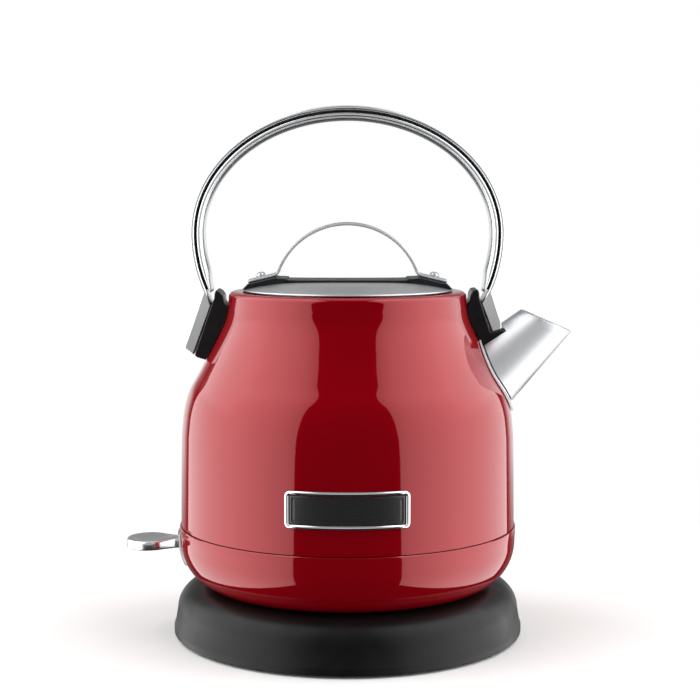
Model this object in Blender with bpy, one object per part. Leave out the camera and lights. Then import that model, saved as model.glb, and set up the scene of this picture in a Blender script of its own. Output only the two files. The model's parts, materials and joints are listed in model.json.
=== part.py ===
"""Cordless electric kettle on a round power base: all its separate pieces, at rest on the base.

Metres, +Z up. The origin is on the table, at the centre of the kettle's footprint.
The spout points to +X, the switch lever to -X and the badge to -Y.
"""

import math

import bmesh
import bpy
from mathutils import Matrix, Vector

MM = 0.001
GAP = 0.3 * MM

# Driving dimensions
RIM_HEIGHT = 170.6 * MM
RIM_RADIUS = 58.7 * MM
RIM_ROUNDING = 2.6 * MM
MOUTH_RADIUS = 47.0 * MM
MOUTH_DEPTH = 7.0 * MM
STEEL = 0.9 * MM
SHELL_WALL = 1.4 * MM
WALL_INSIDE = 60.0 * MM
WALL_OUTSIDE = 90.0 * MM

BASE_RADIUS = 86.8 * MM
PLATEAU = 25.0 * MM
BOSS_TOP = 30.0 * MM
POST_RADIUS = 13.25 * MM
POST_TOP = 43.5 * MM
KETTLE_FLOOR = PLATEAU + GAP
SCREW_RECESS = 0.25 * MM

HOOP_HALF_WIDTH = 77.0 * MM
HOOP_CENTRE = 199.0 * MM
HOOP_RISE = 62.0 * MM
HOOP_DROP = 74.0 * MM
STRAP_THICKNESS = 2.2 * MM
GRIP_START = 3.4 * MM
GRIP_END = 7.2 * MM
GRIP_TIP = 4.6 * MM
GRIP_REACH = -24
CORE_GAP = 0.25 * MM
HANDLE_WIDTH = 19.0 * MM
SPACER_WIDTH = 20.4 * MM
STUD_RADIUS = 2.0 * MM

LID_RADIUS = 51.9 * MM
LID_TOP = 175.4 * MM
LID_SHEET = 1.0 * MM
SADDLE_WIDTH = 26.0 * MM
LOOP_TOP = 204.4 * MM
LOOP_RADIUS = 37.4 * MM
LOOP_WIDTH = 15.0 * MM
LOOP_THICKNESS = 1.4 * MM
RIVET_RADIUS = 1.4 * MM

LEVER_TIP = 110.8 * MM
PADDLE_RADII = (11.4 * MM, 12.5 * MM)
PADDLE_CENTRE = PADDLE_RADII[0] - LEVER_TIP
LEVER_PIVOT = Vector((-70.0, 0.0, 44.7)) * MM
TRIP_PIVOT = Vector((-46.0, 0.0, 46.4)) * MM

SPOUT_TIP = 110.8 * MM
SPOUT_SHEET = 1.0 * MM
SPOUT_HEIGHT = 131.0 * MM
BADGE_HEIGHT = 76.5 * MM

FINE = 32
ROUND = 20
SMALL = 12


def clear_scene():
    for thing in list(bpy.data.objects):
        bpy.data.objects.remove(thing, do_unlink=True)


def make_material(name, colour, roughness, metallic):
    material = bpy.data.materials.new(name)
    material.use_nodes = True
    shader = material.node_tree.nodes["Principled BSDF"]
    shader.inputs["Base Color"].default_value = (*colour, 1.0)
    shader.inputs["Roughness"].default_value = roughness
    shader.inputs["Metallic"].default_value = metallic
    material.diffuse_color = (*colour, 1.0)
    return material


def make_materials():
    return {
        "red": make_material("red_paint", (0.45, 0.004, 0.012), 0.12, 0.0),
        "chrome": make_material("polished_chrome", (0.78, 0.78, 0.79), 0.06, 1.0),
        "brushed": make_material("brushed_steel", (0.62, 0.62, 0.63), 0.28, 1.0),
        "black": make_material("black_plastic", (0.012, 0.012, 0.013), 0.45, 0.0),
        "rubber": make_material("grey_rubber", (0.05, 0.05, 0.05), 0.8, 0.0),
        "brass": make_material("contact_brass", (0.75, 0.55, 0.22), 0.3, 1.0),
        "white": make_material("heatproof_plastic", (0.7, 0.7, 0.66), 0.5, 0.0),
        "aluminium": make_material("element_aluminium", (0.6, 0.61, 0.63), 0.4, 1.0),
    }


# Outlines: every profile below is a list of (radius or x, height) pairs.


def mm(*pairs):
    return [(u * MM, v * MM) for u, v in pairs]


def smooth_curve(points, per_span):
    """Catmull-Rom curve through the points."""
    ends = [points[0], *points, points[-1]]
    curve = []
    for before, start, stop, after in zip(ends, ends[1:], ends[2:], ends[3:]):
        for step in range(per_span):
            t = step / per_span
            pair = []
            for a, b, c, d in zip(before, start, stop, after):
                bend = 2 * a - 5 * b + 4 * c - d
                pair.append(0.5 * (2 * b + (c - a) * t + bend * t**2 + (3 * b - a - 3 * c + d) * t**3))
            curve.append(tuple(pair))
    curve.append(points[-1])
    return curve


def arc(centre, radii, start, stop, steps):
    """Points along an elliptical arc, angles in degrees from +u towards +v."""
    points = []
    for step in range(steps + 1):
        angle = math.radians(start + (stop - start) * step / steps)
        points.append((centre[0] + radii[0] * math.cos(angle), centre[1] + radii[1] * math.sin(angle)))
    return points


def offset_line(points, distance):
    """The open line moved sideways: positive goes to the right of its direction."""
    moved = []
    for index, point in enumerate(points):
        before = points[max(index - 1, 0)]
        after = points[min(index + 1, len(points) - 1)]
        du, dv = after[0] - before[0], after[1] - before[1]
        length = math.hypot(du, dv)
        moved.append((point[0] + distance * dv / length, point[1] - distance * du / length))
    return moved


def rounded_rectangle(centre, half_width, half_height, radius, steps=3):
    points = []
    corners = ((1, 1, 0), (-1, 1, 90), (-1, -1, 180), (1, -1, 270))
    for side, level, turn in corners:
        middle = (centre[0] + side * (half_width - radius), centre[1] + level * (half_height - radius))
        points += arc(middle, (radius, radius), turn, turn + 90, steps)
    return points


def ellipse(centre, half_width, half_height, steps):
    return arc(centre, (half_width, half_height), 0, 360, steps)[:-1]


# Solids


def finish(name, bm, material, origin=(0, 0, 0), sharp=35):
    """Turns a bmesh into an object whose own origin is at the given point."""
    bmesh.ops.recalc_face_normals(bm, faces=bm.faces)
    bmesh.ops.translate(bm, verts=bm.verts, vec=-Vector(origin))
    mesh = bpy.data.meshes.new(name)
    bm.to_mesh(mesh)
    bm.free()
    thing = bpy.data.objects.new(name, mesh)
    thing.location = origin
    bpy.context.scene.collection.objects.link(thing)
    if material:
        mesh.materials.append(material)
    mesh.shade_smooth()
    mesh.set_sharp_from_angle(angle=math.radians(sharp))
    return thing


def turned(name, outline, material, steps=ROUND, centre=(0, 0), origin=(0, 0, 0)):
    """A closed outline turned about a vertical axis. A point at radius 0 closes the end."""
    bm = bmesh.new()
    rings = []
    for radius, height in outline:
        if radius < 1e-6:
            rings.append([bm.verts.new((centre[0], centre[1], height))])
            continue
        ring = []
        for step in range(steps):
            angle = math.tau * step / steps
            x = centre[0] + radius * math.cos(angle)
            y = centre[1] + radius * math.sin(angle)
            ring.append(bm.verts.new((x, y, height)))
        rings.append(ring)
    for ring, following in zip(rings, rings[1:] + rings[:1]):
        for step in range(steps):
            corners = [
                ring[step % len(ring)],
                ring[(step + 1) % len(ring)],
                following[(step + 1) % len(following)],
                following[step % len(following)],
            ]
            corners = list(dict.fromkeys(corners))
            if len(corners) > 2:
                bm.faces.new(corners)
    return finish(name, bm, material, origin)


def lofted(name, sections, material, origin=(0, 0, 0), sharp=35):
    """Closed rings of equal length joined one to the next, with a cap on each end."""
    bm = bmesh.new()
    rings = [[bm.verts.new(point) for point in section] for section in sections]
    for ring, following in zip(rings, rings[1:]):
        for step in range(len(ring)):
            after = (step + 1) % len(ring)
            bm.faces.new((ring[step], ring[after], following[after], following[step]))
    bm.faces.new(rings[0])
    bm.faces.new(reversed(rings[-1]))
    return finish(name, bm, material, origin, sharp)


def extruded(name, outline, axis, low, high, material, origin=(0, 0, 0)):
    """An outline extruded along X, Y or Z. Its pairs are the other two coordinates in order."""
    sections = []
    for level in (low, high):
        section = []
        for u, v in outline:
            point = [u, v]
            point.insert("XYZ".index(axis), level)
            section.append(point)
        sections.append(section)
    return lofted(name, sections, material, origin)


def rod(name, start, end, radius, material=None, sides=SMALL):
    start, end = Vector(start), Vector(end)
    turn = (end - start).to_track_quat("Z", "Y").to_matrix()
    ring = [turn @ Vector((u, v, 0)) for u, v in ellipse((0, 0), radius, radius, sides)]
    return lofted(name, [[start + point for point in ring], [end + point for point in ring]], material)


def cross_rod(name, centre, half_length, radius, material=None):
    """A rod along Y, centred on a point."""
    reach = Vector((0, half_length, 0))
    return rod(name, centre - reach, centre + reach, radius, material)


def banded(name, outer, inner, section, half_width, material):
    """A bar bent in the XZ plane between an outer and an inner line.

    Each (t, s) of the section runs from the outer line (t 0) to the inner one (t 1)
    and across the bar's width (s -1 to 1).
    """
    rings = []
    for (x0, z0), (x1, z1) in zip(outer, inner):
        ring = [(x0 + (x1 - x0) * t, half_width * s, z0 + (z1 - z0) * t) for t, s in section]
        rings.append(ring)
    return lofted(name, rings, material)


def wall_cutter(name, outline, axis, side):
    """An outline extruded through the wall, on the positive or the negative side of an axis."""
    low, high = sorted((side * WALL_INSIDE, side * WALL_OUTSIDE))
    return extruded(name, outline, axis, low, high, None)


def boolean(thing, cutter, operation="DIFFERENCE"):
    cutter.hide_render = True
    cutter.display_type = "WIRE"
    modifier = thing.modifiers.new(f"{operation.lower()}_{cutter.name}", "BOOLEAN")
    modifier.operation = operation
    modifier.object = cutter


# The kettle's outer lines, from the seam upwards and from the seam downwards


def body_line():
    wall = mm((82.9, 55.9), (82.6, 80.0), (82.2, 101.0))
    shoulder = mm((81.0, 112.0), (78.2, 122.0), (73.0, 131.5), (65.9, 145.0))
    neck = mm((60.4, 157.0), (59.0, 164.0), (58.7, 168.0))
    return wall[:2] + smooth_curve(wall[2:] + shoulder + neck, 2)


def lower_line():
    """From the lower shell's lip down the wall and round the bottom corner."""
    wall = mm((83.7, 54.6), (83.6, 51.0))
    corner = arc((64 * MM, 47.5 * MM), (19.4 * MM, 22.2 * MM), 0, -90, 6)
    return wall + corner


def body_radius(height):
    line = body_line()
    for (r0, z0), (r1, z1) in zip(line, line[1:]):
        if z0 <= height <= z1:
            return r0 + (r1 - r0) * (height - z0) / (z1 - z0)
    return line[-1][0]


def body_solid(name, distance):
    """Cutter: everything inside the body's wall, grown by a distance."""
    line = offset_line(body_line(), distance)
    top = (line[-1][0], RIM_HEIGHT + 5 * MM)
    outline = [(0, line[0][1]), *line, top, (0, top[1])]
    return turned(name, outline, None, FINE)


def wall_skin(name, line, inside, outside, steps=FINE, material=None):
    """A thin turned skin that follows a wall line between two distances from it."""
    outer = offset_line(line, outside)
    inner = offset_line(line, inside)
    return turned(name, outer + inner[::-1], material, steps)


# The power base


GLAND_CENTRE = (0, 10.6 * MM)


def base_shell(mats):
    bore = POST_RADIUS + 1.05 * MM
    corner = BASE_RADIUS - 14.8 * MM
    boss = [(bore, BOSS_TOP), (28.5 * MM, BOSS_TOP), *mm((30.0, 29.5), (36.0, 25.4)), (37.5 * MM, PLATEAU)]
    shoulder = arc((corner, 13.5 * MM), (12.9 * MM, PLATEAU - 13.5 * MM), 90, 0, 5)
    side = [(BASE_RADIUS - 0.8 * MM, 7 * MM), (BASE_RADIUS, 4.6 * MM), (BASE_RADIUS, 1.2 * MM)]
    inner_shoulder = arc((corner, 12.0 * MM), (10.7 * MM, 10.8 * MM), 0, 90, 3)
    inner = mm((84.5, 1.2), (84.5, 4.4), (83.8, 7.0)) + inner_shoulder
    under = [*mm((37.0, 22.8), (35.0, 23.4), (28.0, 27.8)), (bore, 27.8 * MM)]
    shell = turned("base_shell", boss + shoulder + side + inner + under, mats["black"], FINE)
    notch = rounded_rectangle(GLAND_CENTRE, 5.9 * MM, 5.3 * MM, 1.5 * MM)
    boolean(shell, wall_cutter("gland_notch", notch, "Y", 1))


def screw(name, centre, low, mats, length):
    """Countersunk-head screw pointing up, with its head at the bottom."""
    head = [(0, 0), (3.0, 0), (3.0, 0.9), (1.5, 1.3), (1.5, length), (0, length)]
    outline = [(u * MM, low + v * MM) for u, v in head]
    turned(name, outline, mats["brushed"], SMALL, centre)


def screw_holes(thing, name, centre, low, floor_top):
    """Counterbored hole for a screw put in from below."""
    bore = [(0, -2.0), (3.3, -2.0), (3.3, 1.6), (1.8, 1.6)]
    outline = [(u * MM, low + v * MM) for u, v in bore]
    outline += [(1.8 * MM, floor_top + MM), (0, floor_top + MM)]
    boolean(thing, turned(name, outline, None, SMALL, centre))


def on_circle(radius, degrees):
    angle = math.radians(degrees)
    return radius * math.cos(angle), radius * math.sin(angle)


def base_floor(mats):
    low, high = 2.0 * MM, 5.0 * MM
    rib = [(62 * MM, high), (62 * MM, 7.5 * MM), (60 * MM, 7.5 * MM), (60 * MM, high)]
    outline = [(0, low), (84.1 * MM, low), (84.1 * MM, high), *rib, (0, high)]
    floor = turned("base_floor", outline, mats["black"], FINE)
    for index in range(3):
        centre = on_circle(52 * MM, 90 + 120 * index)
        screw_holes(floor, f"base_screw_bore_{index + 1}", centre, low, high)
        screw(f"base_screw_{index + 1}", centre, low + SCREW_RECESS, mats, 9.0)
    pad = mm((0, 0), (6.6, 0), (7.0, 0.4), (7.0, 1.7), (0, 1.7))
    for index in range(4):
        turned(f"base_foot_{index + 1}", pad, mats["rubber"], SMALL, on_circle(70 * MM, 45 + 90 * index))


def connector_post(mats):
    waist = POST_RADIUS - 0.5 * MM
    chamfer = POST_RADIUS - 0.95 * MM
    floor = POST_TOP - 8.5 * MM
    tube = mm((11.0, 7.0), (13.9, 7.0), (13.9, 30.3), (18.4, 30.3), (18.4, 31.0))
    side = [(POST_RADIUS, 33.4 * MM), (POST_RADIUS, 38.4 * MM), (waist, 38.9 * MM), (waist, 40 * MM)]
    side += [(POST_RADIUS, 40.5 * MM), (POST_RADIUS, POST_TOP - 0.9 * MM), (chamfer, POST_TOP)]
    outer_groove = [(8.8 * MM, POST_TOP), (8.8 * MM, floor), (4.9 * MM, floor), (4.9 * MM, POST_TOP)]
    bore = [(2.9 * MM, POST_TOP), (2.9 * MM, floor), (0, floor), (0, 33 * MM), (11 * MM, 33 * MM)]
    turned("connector_post", tube + side + outer_groove + bore, mats["black"], ROUND)


def sleeve(name, inner, outer, low, high, material, steps=ROUND):
    turned(name, mm((inner, low), (outer, low), (outer, high), (inner, high)), material, steps)


def base_electrics(mats):
    low, high = 35.3, 42.2
    sleeve("contact_sleeve_outer", 7.9, 8.5, low, high, mats["brass"])
    sleeve("contact_sleeve_inner", 5.2, 5.8, low, high, mats["brass"])
    sleeve("earth_sleeve", 2.0, 2.6, low, high, mats["brass"], SMALL)
    block = rounded_rectangle((0, 30 * MM), 14 * MM, 8 * MM, 1.5 * MM, 2)
    extruded("terminal_block", block, "Z", 5.3 * MM, 14 * MM, mats["white"])
    outline = rounded_rectangle(GLAND_CENTRE, 5.6 * MM, 5.0 * MM, 1.3 * MM)
    gland = extruded("cord_gland", outline, "Y", 79.5 * MM, 86.3 * MM, mats["black"])
    boolean(gland, wall_cutter("gland_bore", ellipse(GLAND_CENTRE, 3.3 * MM, 3.3 * MM, SMALL), "Y", 1))


# The cordless coupler's female half


def coupler(mats):
    mouth = mm((14.0, 34.6), (19.4, 32.1), (24.0, 32.1), (24.0, 46.4), (22.6, 48.0), (0, 48.0))
    roof = mm((0, 44.8), (14.0, 44.8))
    turned("connector_socket", mouth + roof, mats["white"], ROUND)
    sleeve("socket_ring_contact", 6.5, 7.1, 37.2, 44.5, mats["brass"])
    pin = mm((0, 37.0), (0.8, 37.0), (1.3, 37.6), (1.3, 44.5), (0, 44.5))
    turned("socket_earth_pin", pin, mats["brass"], SMALL)


# The kettle's body and underside


def body_shell(mats):
    line = body_line()
    middle = (RIM_RADIUS - RIM_ROUNDING, RIM_HEIGHT - RIM_ROUNDING)
    rim = arc(middle, (RIM_ROUNDING, RIM_ROUNDING), 30, 90, 2)
    mouth_foot = RIM_HEIGHT - MOUTH_DEPTH
    lip = [(MOUTH_RADIUS, RIM_HEIGHT), (MOUTH_RADIUS, mouth_foot), (MOUTH_RADIUS + STEEL, mouth_foot)]
    under = RIM_HEIGHT - STEEL
    corner = [(MOUTH_RADIUS + STEEL, under), (RIM_RADIUS - RIM_ROUNDING - 0.4 * MM, under)]
    inside = offset_line(line, -STEEL)[::-1]
    shell = turned("body_shell", line + rim + lip + corner + inside, mats["red"], FINE)
    hole = ellipse((0, SPOUT_HEIGHT), 12.5 * MM, 11.5 * MM, 16)
    boolean(shell, wall_cutter("spout_port", hole, "X", 1))
    return shell


def lower_shell(mats):
    outer = lower_line()
    hole = 62.9 * MM
    lip = [(hole, KETTLE_FLOOR), (hole, KETTLE_FLOOR + SHELL_WALL)]
    inner = offset_line(outer, SHELL_WALL)[::-1]
    inner[-1] = (outer[0][0] - SHELL_WALL, outer[0][1])
    inner[0] = (inner[0][0], KETTLE_FLOOR + SHELL_WALL)
    shell = turned("lower_shell", outer + lip + inner, mats["red"], FINE)
    slot = rounded_rectangle((0, 44.5 * MM), 6.4 * MM, 5.4 * MM, 2.0 * MM)
    boolean(shell, wall_cutter("lever_slot", slot, "X", -1))


def underside(mats):
    sleeve("seam_seal", 79.6, 82.5, 54.9, 55.6, mats["rubber"], FINE)
    top = KETTLE_FLOOR + 3.4 * MM
    plate = [(62.6 * MM, KETTLE_FLOOR), (62.6 * MM, top), (42.6 * MM, top)]
    socket_ring = mm((42.6, 33.2), (24.4, 33.2), (24.4, 31.2), (40.2, 31.2), (40.6, 30.8))
    outline = [*plate, *socket_ring, (40.6 * MM, KETTLE_FLOOR)]
    cover = turned("bottom_cover", outline, mats["black"], FINE)
    for index in range(3):
        centre = on_circle(51.5 * MM, 30 + 120 * index)
        screw_holes(cover, f"cover_bore_{index + 1}", centre, KETTLE_FLOOR, top)
        screw(f"cover_screw_{index + 1}", centre, KETTLE_FLOOR + SCREW_RECESS, mats, 11.0)


def heater(mats):
    rim = mm((81.4, 56.6), (81.7, 57.0), (81.7, 58.2), (0, 58.2), (0, 57.2), (80.6, 57.2), (80.6, 56.6))
    plate = turned("element_plate", rim, mats["brushed"], FINE)
    sections = []
    steps = 18
    for step in range(steps + 1):
        angle = math.radians(20 + 320 * step / steps)
        radial = Vector((math.cos(angle), math.sin(angle), 0))
        section = []
        for u, v in ellipse((42 * MM, 53.8 * MM), 3 * MM, 3 * MM, 8):
            section.append(radial * u + Vector((0, 0, v)))
        sections.append(section)
    lofted("heating_element", sections, mats["aluminium"])
    at = (-58 * MM, 0)
    boolean(plate, turned("tube_bore", mm((0, 50), (4.8, 50), (4.8, 64), (0, 64)), None, SMALL, at))
    tube = mm((3.6, 51.2), (4.5, 51.2), (4.5, 136), (3.6, 136))
    turned("steam_tube", tube, mats["brushed"], SMALL, at)


# The handle


def hoop_point(degrees, depth):
    """Point of the hoop at an angle from +X, a depth in from its outer edge."""
    angle = math.radians(degrees)
    rise = HOOP_RISE if math.sin(angle) > 0 else HOOP_DROP
    x = (HOOP_HALF_WIDTH - depth) * math.cos(angle)
    return x, HOOP_CENTRE + (rise - depth) * math.sin(angle)


def hoop_line(depth, low, steps):
    return [hoop_point(low + (180 - 2 * low) * step / steps, depth) for step in range(steps + 1)]


def handle(mats):
    half = HANDLE_WIDTH / 2
    flat = [(0, -0.92), (0.3, -1), (0.8, -1), (1, -0.94), (1, 0.94), (0.8, 1), (0.3, 1), (0, 0.92)]
    right = {"outer": mm((75.7, 152.6), (75.5, 154.8)), "inner": mm((70.6, 150.9), (65.6, 165.6))}
    left = {"outer": mm((-75.9, 154.6), (-80.4, 143.6)), "inner": mm((-66.9, 164.4), (-75.4, 139.7))}
    outer = right["outer"] + hoop_line(0, -23, 26) + left["outer"]
    inner = right["inner"] + hoop_line(STRAP_THICKNESS, -23, 26) + left["inner"]
    frame = banded("handle_frame", outer, inner, flat, half, mats["chrome"])
    strip = [(0, -1), (1, -1), (1, 1), (0, 1)]
    core_outer = hoop_line(STRAP_THICKNESS + CORE_GAP, -22.5, 28)
    core_inner = hoop_line(GRIP_START - CORE_GAP, -22.5, 28)
    banded("handle_core", core_outer, core_inner, strip, half - 1.6 * MM, mats["black"])
    bow = [(0, -0.9), (0.25, -1), (0.6, -0.92), (0.87, -0.65), (1, -0.22)]
    bow += [(t, -s) for t, s in reversed(bow)]
    grip_outer = hoop_line(GRIP_START, GRIP_REACH, 28)
    grip_inner = hoop_line(GRIP_END, GRIP_REACH, 28)
    grip_inner[0] = hoop_point(GRIP_REACH, GRIP_TIP)
    grip_inner[-1] = hoop_point(180 - GRIP_REACH, GRIP_TIP)
    banded("handle_grip", grip_outer, grip_inner, bow, half, mats["chrome"])
    return frame


def handle_mounts(mats, frame, shell):
    """Black spacers between the handle's two feet and the body, each held by a stud and a nut."""
    left = mm((-58.0, 162.0), (-60.5, 165.5), (-60.9, 168.6), (-62.2, 170.4), (-64.4, 171.6), (-65.0, 169.8))
    left += mm((-65.2, 167.5), (-66.3, 164.9), (-75.0, 139.6), (-74.0, 138.6), (-69.5, 137.2), (-60.0, 140.0))
    right = mm((58.0, 162.5), (59.9, 166.5), (60.2, 169.2), (61.2, 171.4), (63.8, 171.9), (64.4, 170.0))
    right += mm((64.6, 167.5), (65.2, 165.8), (70.2, 150.6), (76.6, 152.0), (78.2, 149.2), (68.2, 142.6))
    right += mm((60.0, 146.0))
    half = SPACER_WIDTH / 2
    lean = math.radians(19.09)
    for side, name, outline, foot in (
        (-1, "left", left, Vector((-71.4, 0, 152.0)) * MM),
        (1, "right", right, Vector((67.9, 0, 158.5)) * MM),
    ):
        spacer = extruded(f"spacer_{name}", outline, "Y", -half, half, mats["black"])
        boolean(spacer, body_solid(f"spacer_bed_{name}", GAP))
        out = Vector((side * math.cos(lean), 0, math.sin(lean)))
        bore_ends = foot - out * 30 * MM, foot + out * 3.3 * MM
        bore = rod(f"stud_bore_{name}", *bore_ends, STUD_RADIUS + GAP)
        for pierced in (frame, spacer, shell):
            boolean(pierced, bore)
        stud_ends = foot - out * 15 * MM, foot + out * 3 * MM
        rod(f"handle_stud_{name}", *stud_ends, STUD_RADIUS, mats["brushed"])
        nut_ends = foot - out * 13.6 * MM, foot - out * 10.2 * MM
        boolean(rod(f"handle_nut_{name}", *nut_ends, 4.4 * MM, mats["brushed"], 6), bore)


# The spout


def tilted_ring(centre, along, half_length, half_width, steps=22):
    """Ellipse centred in the XZ plane: one axis lies along a direction of that plane, the other is Y."""
    ring = []
    for u, v in ellipse((0, 0), half_length, half_width, steps):
        ring.append(centre + along * u + Vector((0, v, 0)))
    return ring


def spout_cone(name, inset, root_reach, mouth_reach, material=None):
    """Solid cone of the spout between its root and its mouth, shrunk by an inset."""
    mouth_low, mouth_high = Vector((SPOUT_TIP, 0, 150.6 * MM)), Vector((86.0, 0, 161.4)) * MM
    root_low, root_high = Vector((80.9, 0, 115.2)) * MM, Vector((66.0, 0, 147.4)) * MM
    low_way = (mouth_low - root_low).normalized()
    high_way = (mouth_high - root_high).normalized()
    sections = []
    for low, high, width, reach in (
        (root_low, root_high, 19.0 * MM, -root_reach),
        (mouth_low, mouth_high, 14.0 * MM, mouth_reach),
    ):
        along = (high - low).normalized()
        low_end = low + low_way * reach + along * inset
        high_end = high + high_way * reach - along * inset
        middle = (low_end + high_end) / 2
        sections.append(tilted_ring(middle, along, (high_end - low_end).length / 2, width - inset))
    return lofted(name, sections, material)


def spout(mats):
    cone = spout_cone("spout", 0, 7 * MM, 0, mats["brushed"])
    boolean(cone, spout_cone("spout_hollow", SPOUT_SHEET, 12 * MM, 4 * MM))
    boolean(cone, body_solid("spout_bed", 1.6 * MM))
    spacer_bed = mm((56.0, 172.0), (76.3, 168.0), (76.3, 153.0), (77.1, 152.5), (79.0, 149.0))
    spacer_bed += mm((68.0, 141.6), (56.0, 141.6))
    half = SPACER_WIDTH / 2 + 0.4 * MM
    boolean(cone, extruded("spout_notch", spacer_bed, "Y", -half, half, None))
    collar = wall_skin("spout_collar", body_line()[3:-4], GAP, 1.2 * MM, material=mats["chrome"])
    root = Vector((73.5, 0, 130.6)) * MM
    along = Vector((-14.9, 0, 32.2)).normalized()
    out = Vector((32.2, 0, 14.9)).normalized()
    for operation, half_length, half_width in (("INTERSECT", 21.2, 22.0), ("DIFFERENCE", 15.4, 16.6)):
        ends = []
        for reach in (-14 * MM, 14 * MM):
            ends.append(tilted_ring(root + out * reach, along, half_length * MM, half_width * MM))
        boolean(collar, lofted(f"collar_{operation.lower()}", ends, None), operation)
    boolean(collar, extruded("collar_notch", spacer_bed, "Y", -half, half, None))


def spout_filter(mats):
    line = [pair for pair in body_line() if 108 * MM < pair[1] < 156 * MM]
    back = STEEL + GAP + 0.8 * MM
    plate = wall_skin("spout_filter", line, -back, -STEEL - GAP, material=mats["brushed"])
    oval = ellipse((0, SPOUT_HEIGHT), 16 * MM, 15 * MM, 16)
    boolean(plate, wall_cutter("filter_oval", oval, "X", 1), "INTERSECT")
    pitch = 8.0 * MM
    radius = 2.6 * MM
    for row in (-1, 0, 1):
        for column in (-1, 0, 1):
            centre = (column * pitch, SPOUT_HEIGHT + row * pitch)
            round_hole = arc(centre, (radius, radius), 11, 371, 6)[:-1]
            boolean(plate, wall_cutter(f"filter_hole_{row + 1}_{column + 1}", round_hole, "X", 1))


# Badge, switch and its works


def badge(mats):
    line = [(body_radius(z), z) for z in (60 * MM, 68 * MM, BADGE_HEIGHT, 85 * MM, 93 * MM)]
    centre = (0, BADGE_HEIGHT)
    frame = wall_skin("badge_frame", line, GAP, 1.7 * MM, material=mats["chrome"])
    outline = rounded_rectangle(centre, 28.6 * MM, 8.7 * MM, 2.6 * MM)
    boolean(frame, wall_cutter("frame_outside", outline, "Y", -1), "INTERSECT")
    window = rounded_rectangle(centre, 26.6 * MM, 6.7 * MM, 1.2 * MM)
    boolean(frame, wall_cutter("frame_window", window, "Y", -1))
    plate = wall_skin("badge_plate", line, GAP, 1.1 * MM, material=mats["black"])
    inlay = rounded_rectangle(centre, 26.3 * MM, 6.4 * MM, 1.0 * MM)
    boolean(plate, wall_cutter("plate_outside", inlay, "Y", -1), "INTERSECT")


def switch_plate(mats):
    skin_line = lower_line()[1:7]
    plate = wall_skin("switch_escutcheon", skin_line, -1.1 * MM, -GAP, material=mats["chrome"])
    outline = rounded_rectangle((0, 44.0 * MM), 15 * MM, 9.2 * MM, 4.0 * MM)
    boolean(plate, wall_cutter("escutcheon_outside", outline, "X", -1), "INTERSECT")
    window = rounded_rectangle((0, 44.5 * MM), 6.2 * MM, 5.2 * MM, 1.8 * MM)
    boolean(plate, wall_cutter("escutcheon_window", window, "X", -1))


def lever_ring(level, inset):
    """The lever's plan at one height: a round paddle drawn in by an inset, on a straight stem."""
    narrowed = 1 - inset / PADDLE_RADII[1]
    paddle = arc((PADDLE_CENTRE, 0), [radius * narrowed for radius in PADDLE_RADII], 48, 312, 16)
    half = 5 * MM * narrowed
    root, end = -86 * MM, -60.6 * MM
    stem = [(root, -half), (end, -half), (end, half), (root, half)]
    return [(x, y, level) for x, y in paddle + stem]


def switch_lever(mats):
    rings = []
    for level, inset in mm((42.3, 1.4), (42.9, 0.4), (44.0, 0), (45.8, 0), (46.6, 0.4), (47.0, 1.3)):
        rings.append(lever_ring(level, inset))
    lever = lofted("switch_lever", rings, mats["chrome"], LEVER_PIVOT)
    hollow = [(0, 46.1 * MM), (8.4 * MM, 47.2 * MM), (0, 47.2 * MM)]
    boolean(lever, turned("lever_dish", hollow, None, 16, (PADDLE_CENTRE, 0)))
    boolean(lever, cross_rod("lever_bore", LEVER_PIVOT, 9 * MM, 1.5 * MM))
    bridge = mm((-9, 40.6), (-7, 40.6), (-7, 48.6), (7, 48.6), (7, 40.6), (9, 40.6), (9, 50.4), (-9, 50.4))
    bracket = extruded("switch_bracket", bridge, "X", -77.6 * MM, -66.4 * MM, mats["white"])
    boolean(bracket, cross_rod("bracket_bore", LEVER_PIVOT, 9.6 * MM, 1.45 * MM))
    cross_rod("lever_pin", LEVER_PIVOT, 8.8 * MM, 1.15 * MM, mats["brushed"])


def control(mats):
    block = rounded_rectangle((0, 0), 30 * MM, 18 * MM, 3 * MM)
    housing = extruded("control_housing", block, "Z", 48.3 * MM, 50.6 * MM, mats["white"])
    ear = mm((-51.0, 43.2), (-26.0, 48.6), (-26.0, 49.6), (-51.0, 49.6))
    for side, name in ((-1, "front"), (1, "back")):
        faces = sorted((side * 6.2 * MM, side * 8.4 * MM))
        boolean(housing, extruded(f"trip_ear_{name}", ear, "Y", *faces, None), "UNION")
    boolean(housing, cross_rod("trip_bore", TRIP_PIVOT, 9 * MM, 1.4 * MM))
    cross_rod("trip_pin", TRIP_PIVOT, 8.2 * MM, 1.1 * MM, mats["brushed"])
    hub = arc((TRIP_PIVOT.x, TRIP_PIVOT.z), (2.4 * MM, 2.4 * MM), -160, -20, 4)
    arm = hub + mm((-37.6, 45.6), (-37.6, 47.2), (-43.0, 48.4), (-50.0, 48.8), (-64.0, 48.6), (-64.0, 47.4))
    lever = extruded("trip_arm", arm, "Y", -4.6 * MM, 4.6 * MM, mats["white"], TRIP_PIVOT)
    boolean(lever, cross_rod("trip_arm_bore", TRIP_PIVOT, 9 * MM, 1.4 * MM))
    disc = Vector((-35.6, 0, 44.0)) * MM
    rod("bimetal_disc", disc, disc + Vector((0.6 * MM, 0, 0)), 3.6 * MM, mats["brass"])


# The lid


def mirrored(line):
    """The line followed by its own mirror image across the plane x = 0."""
    return line + [(-x, z) for x, z in reversed(line)]


FLAT_BAR = [(0, -0.94), (0.3, -1), (1, -1), (1, 1), (0.3, 1), (0, 0.94)]


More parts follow.
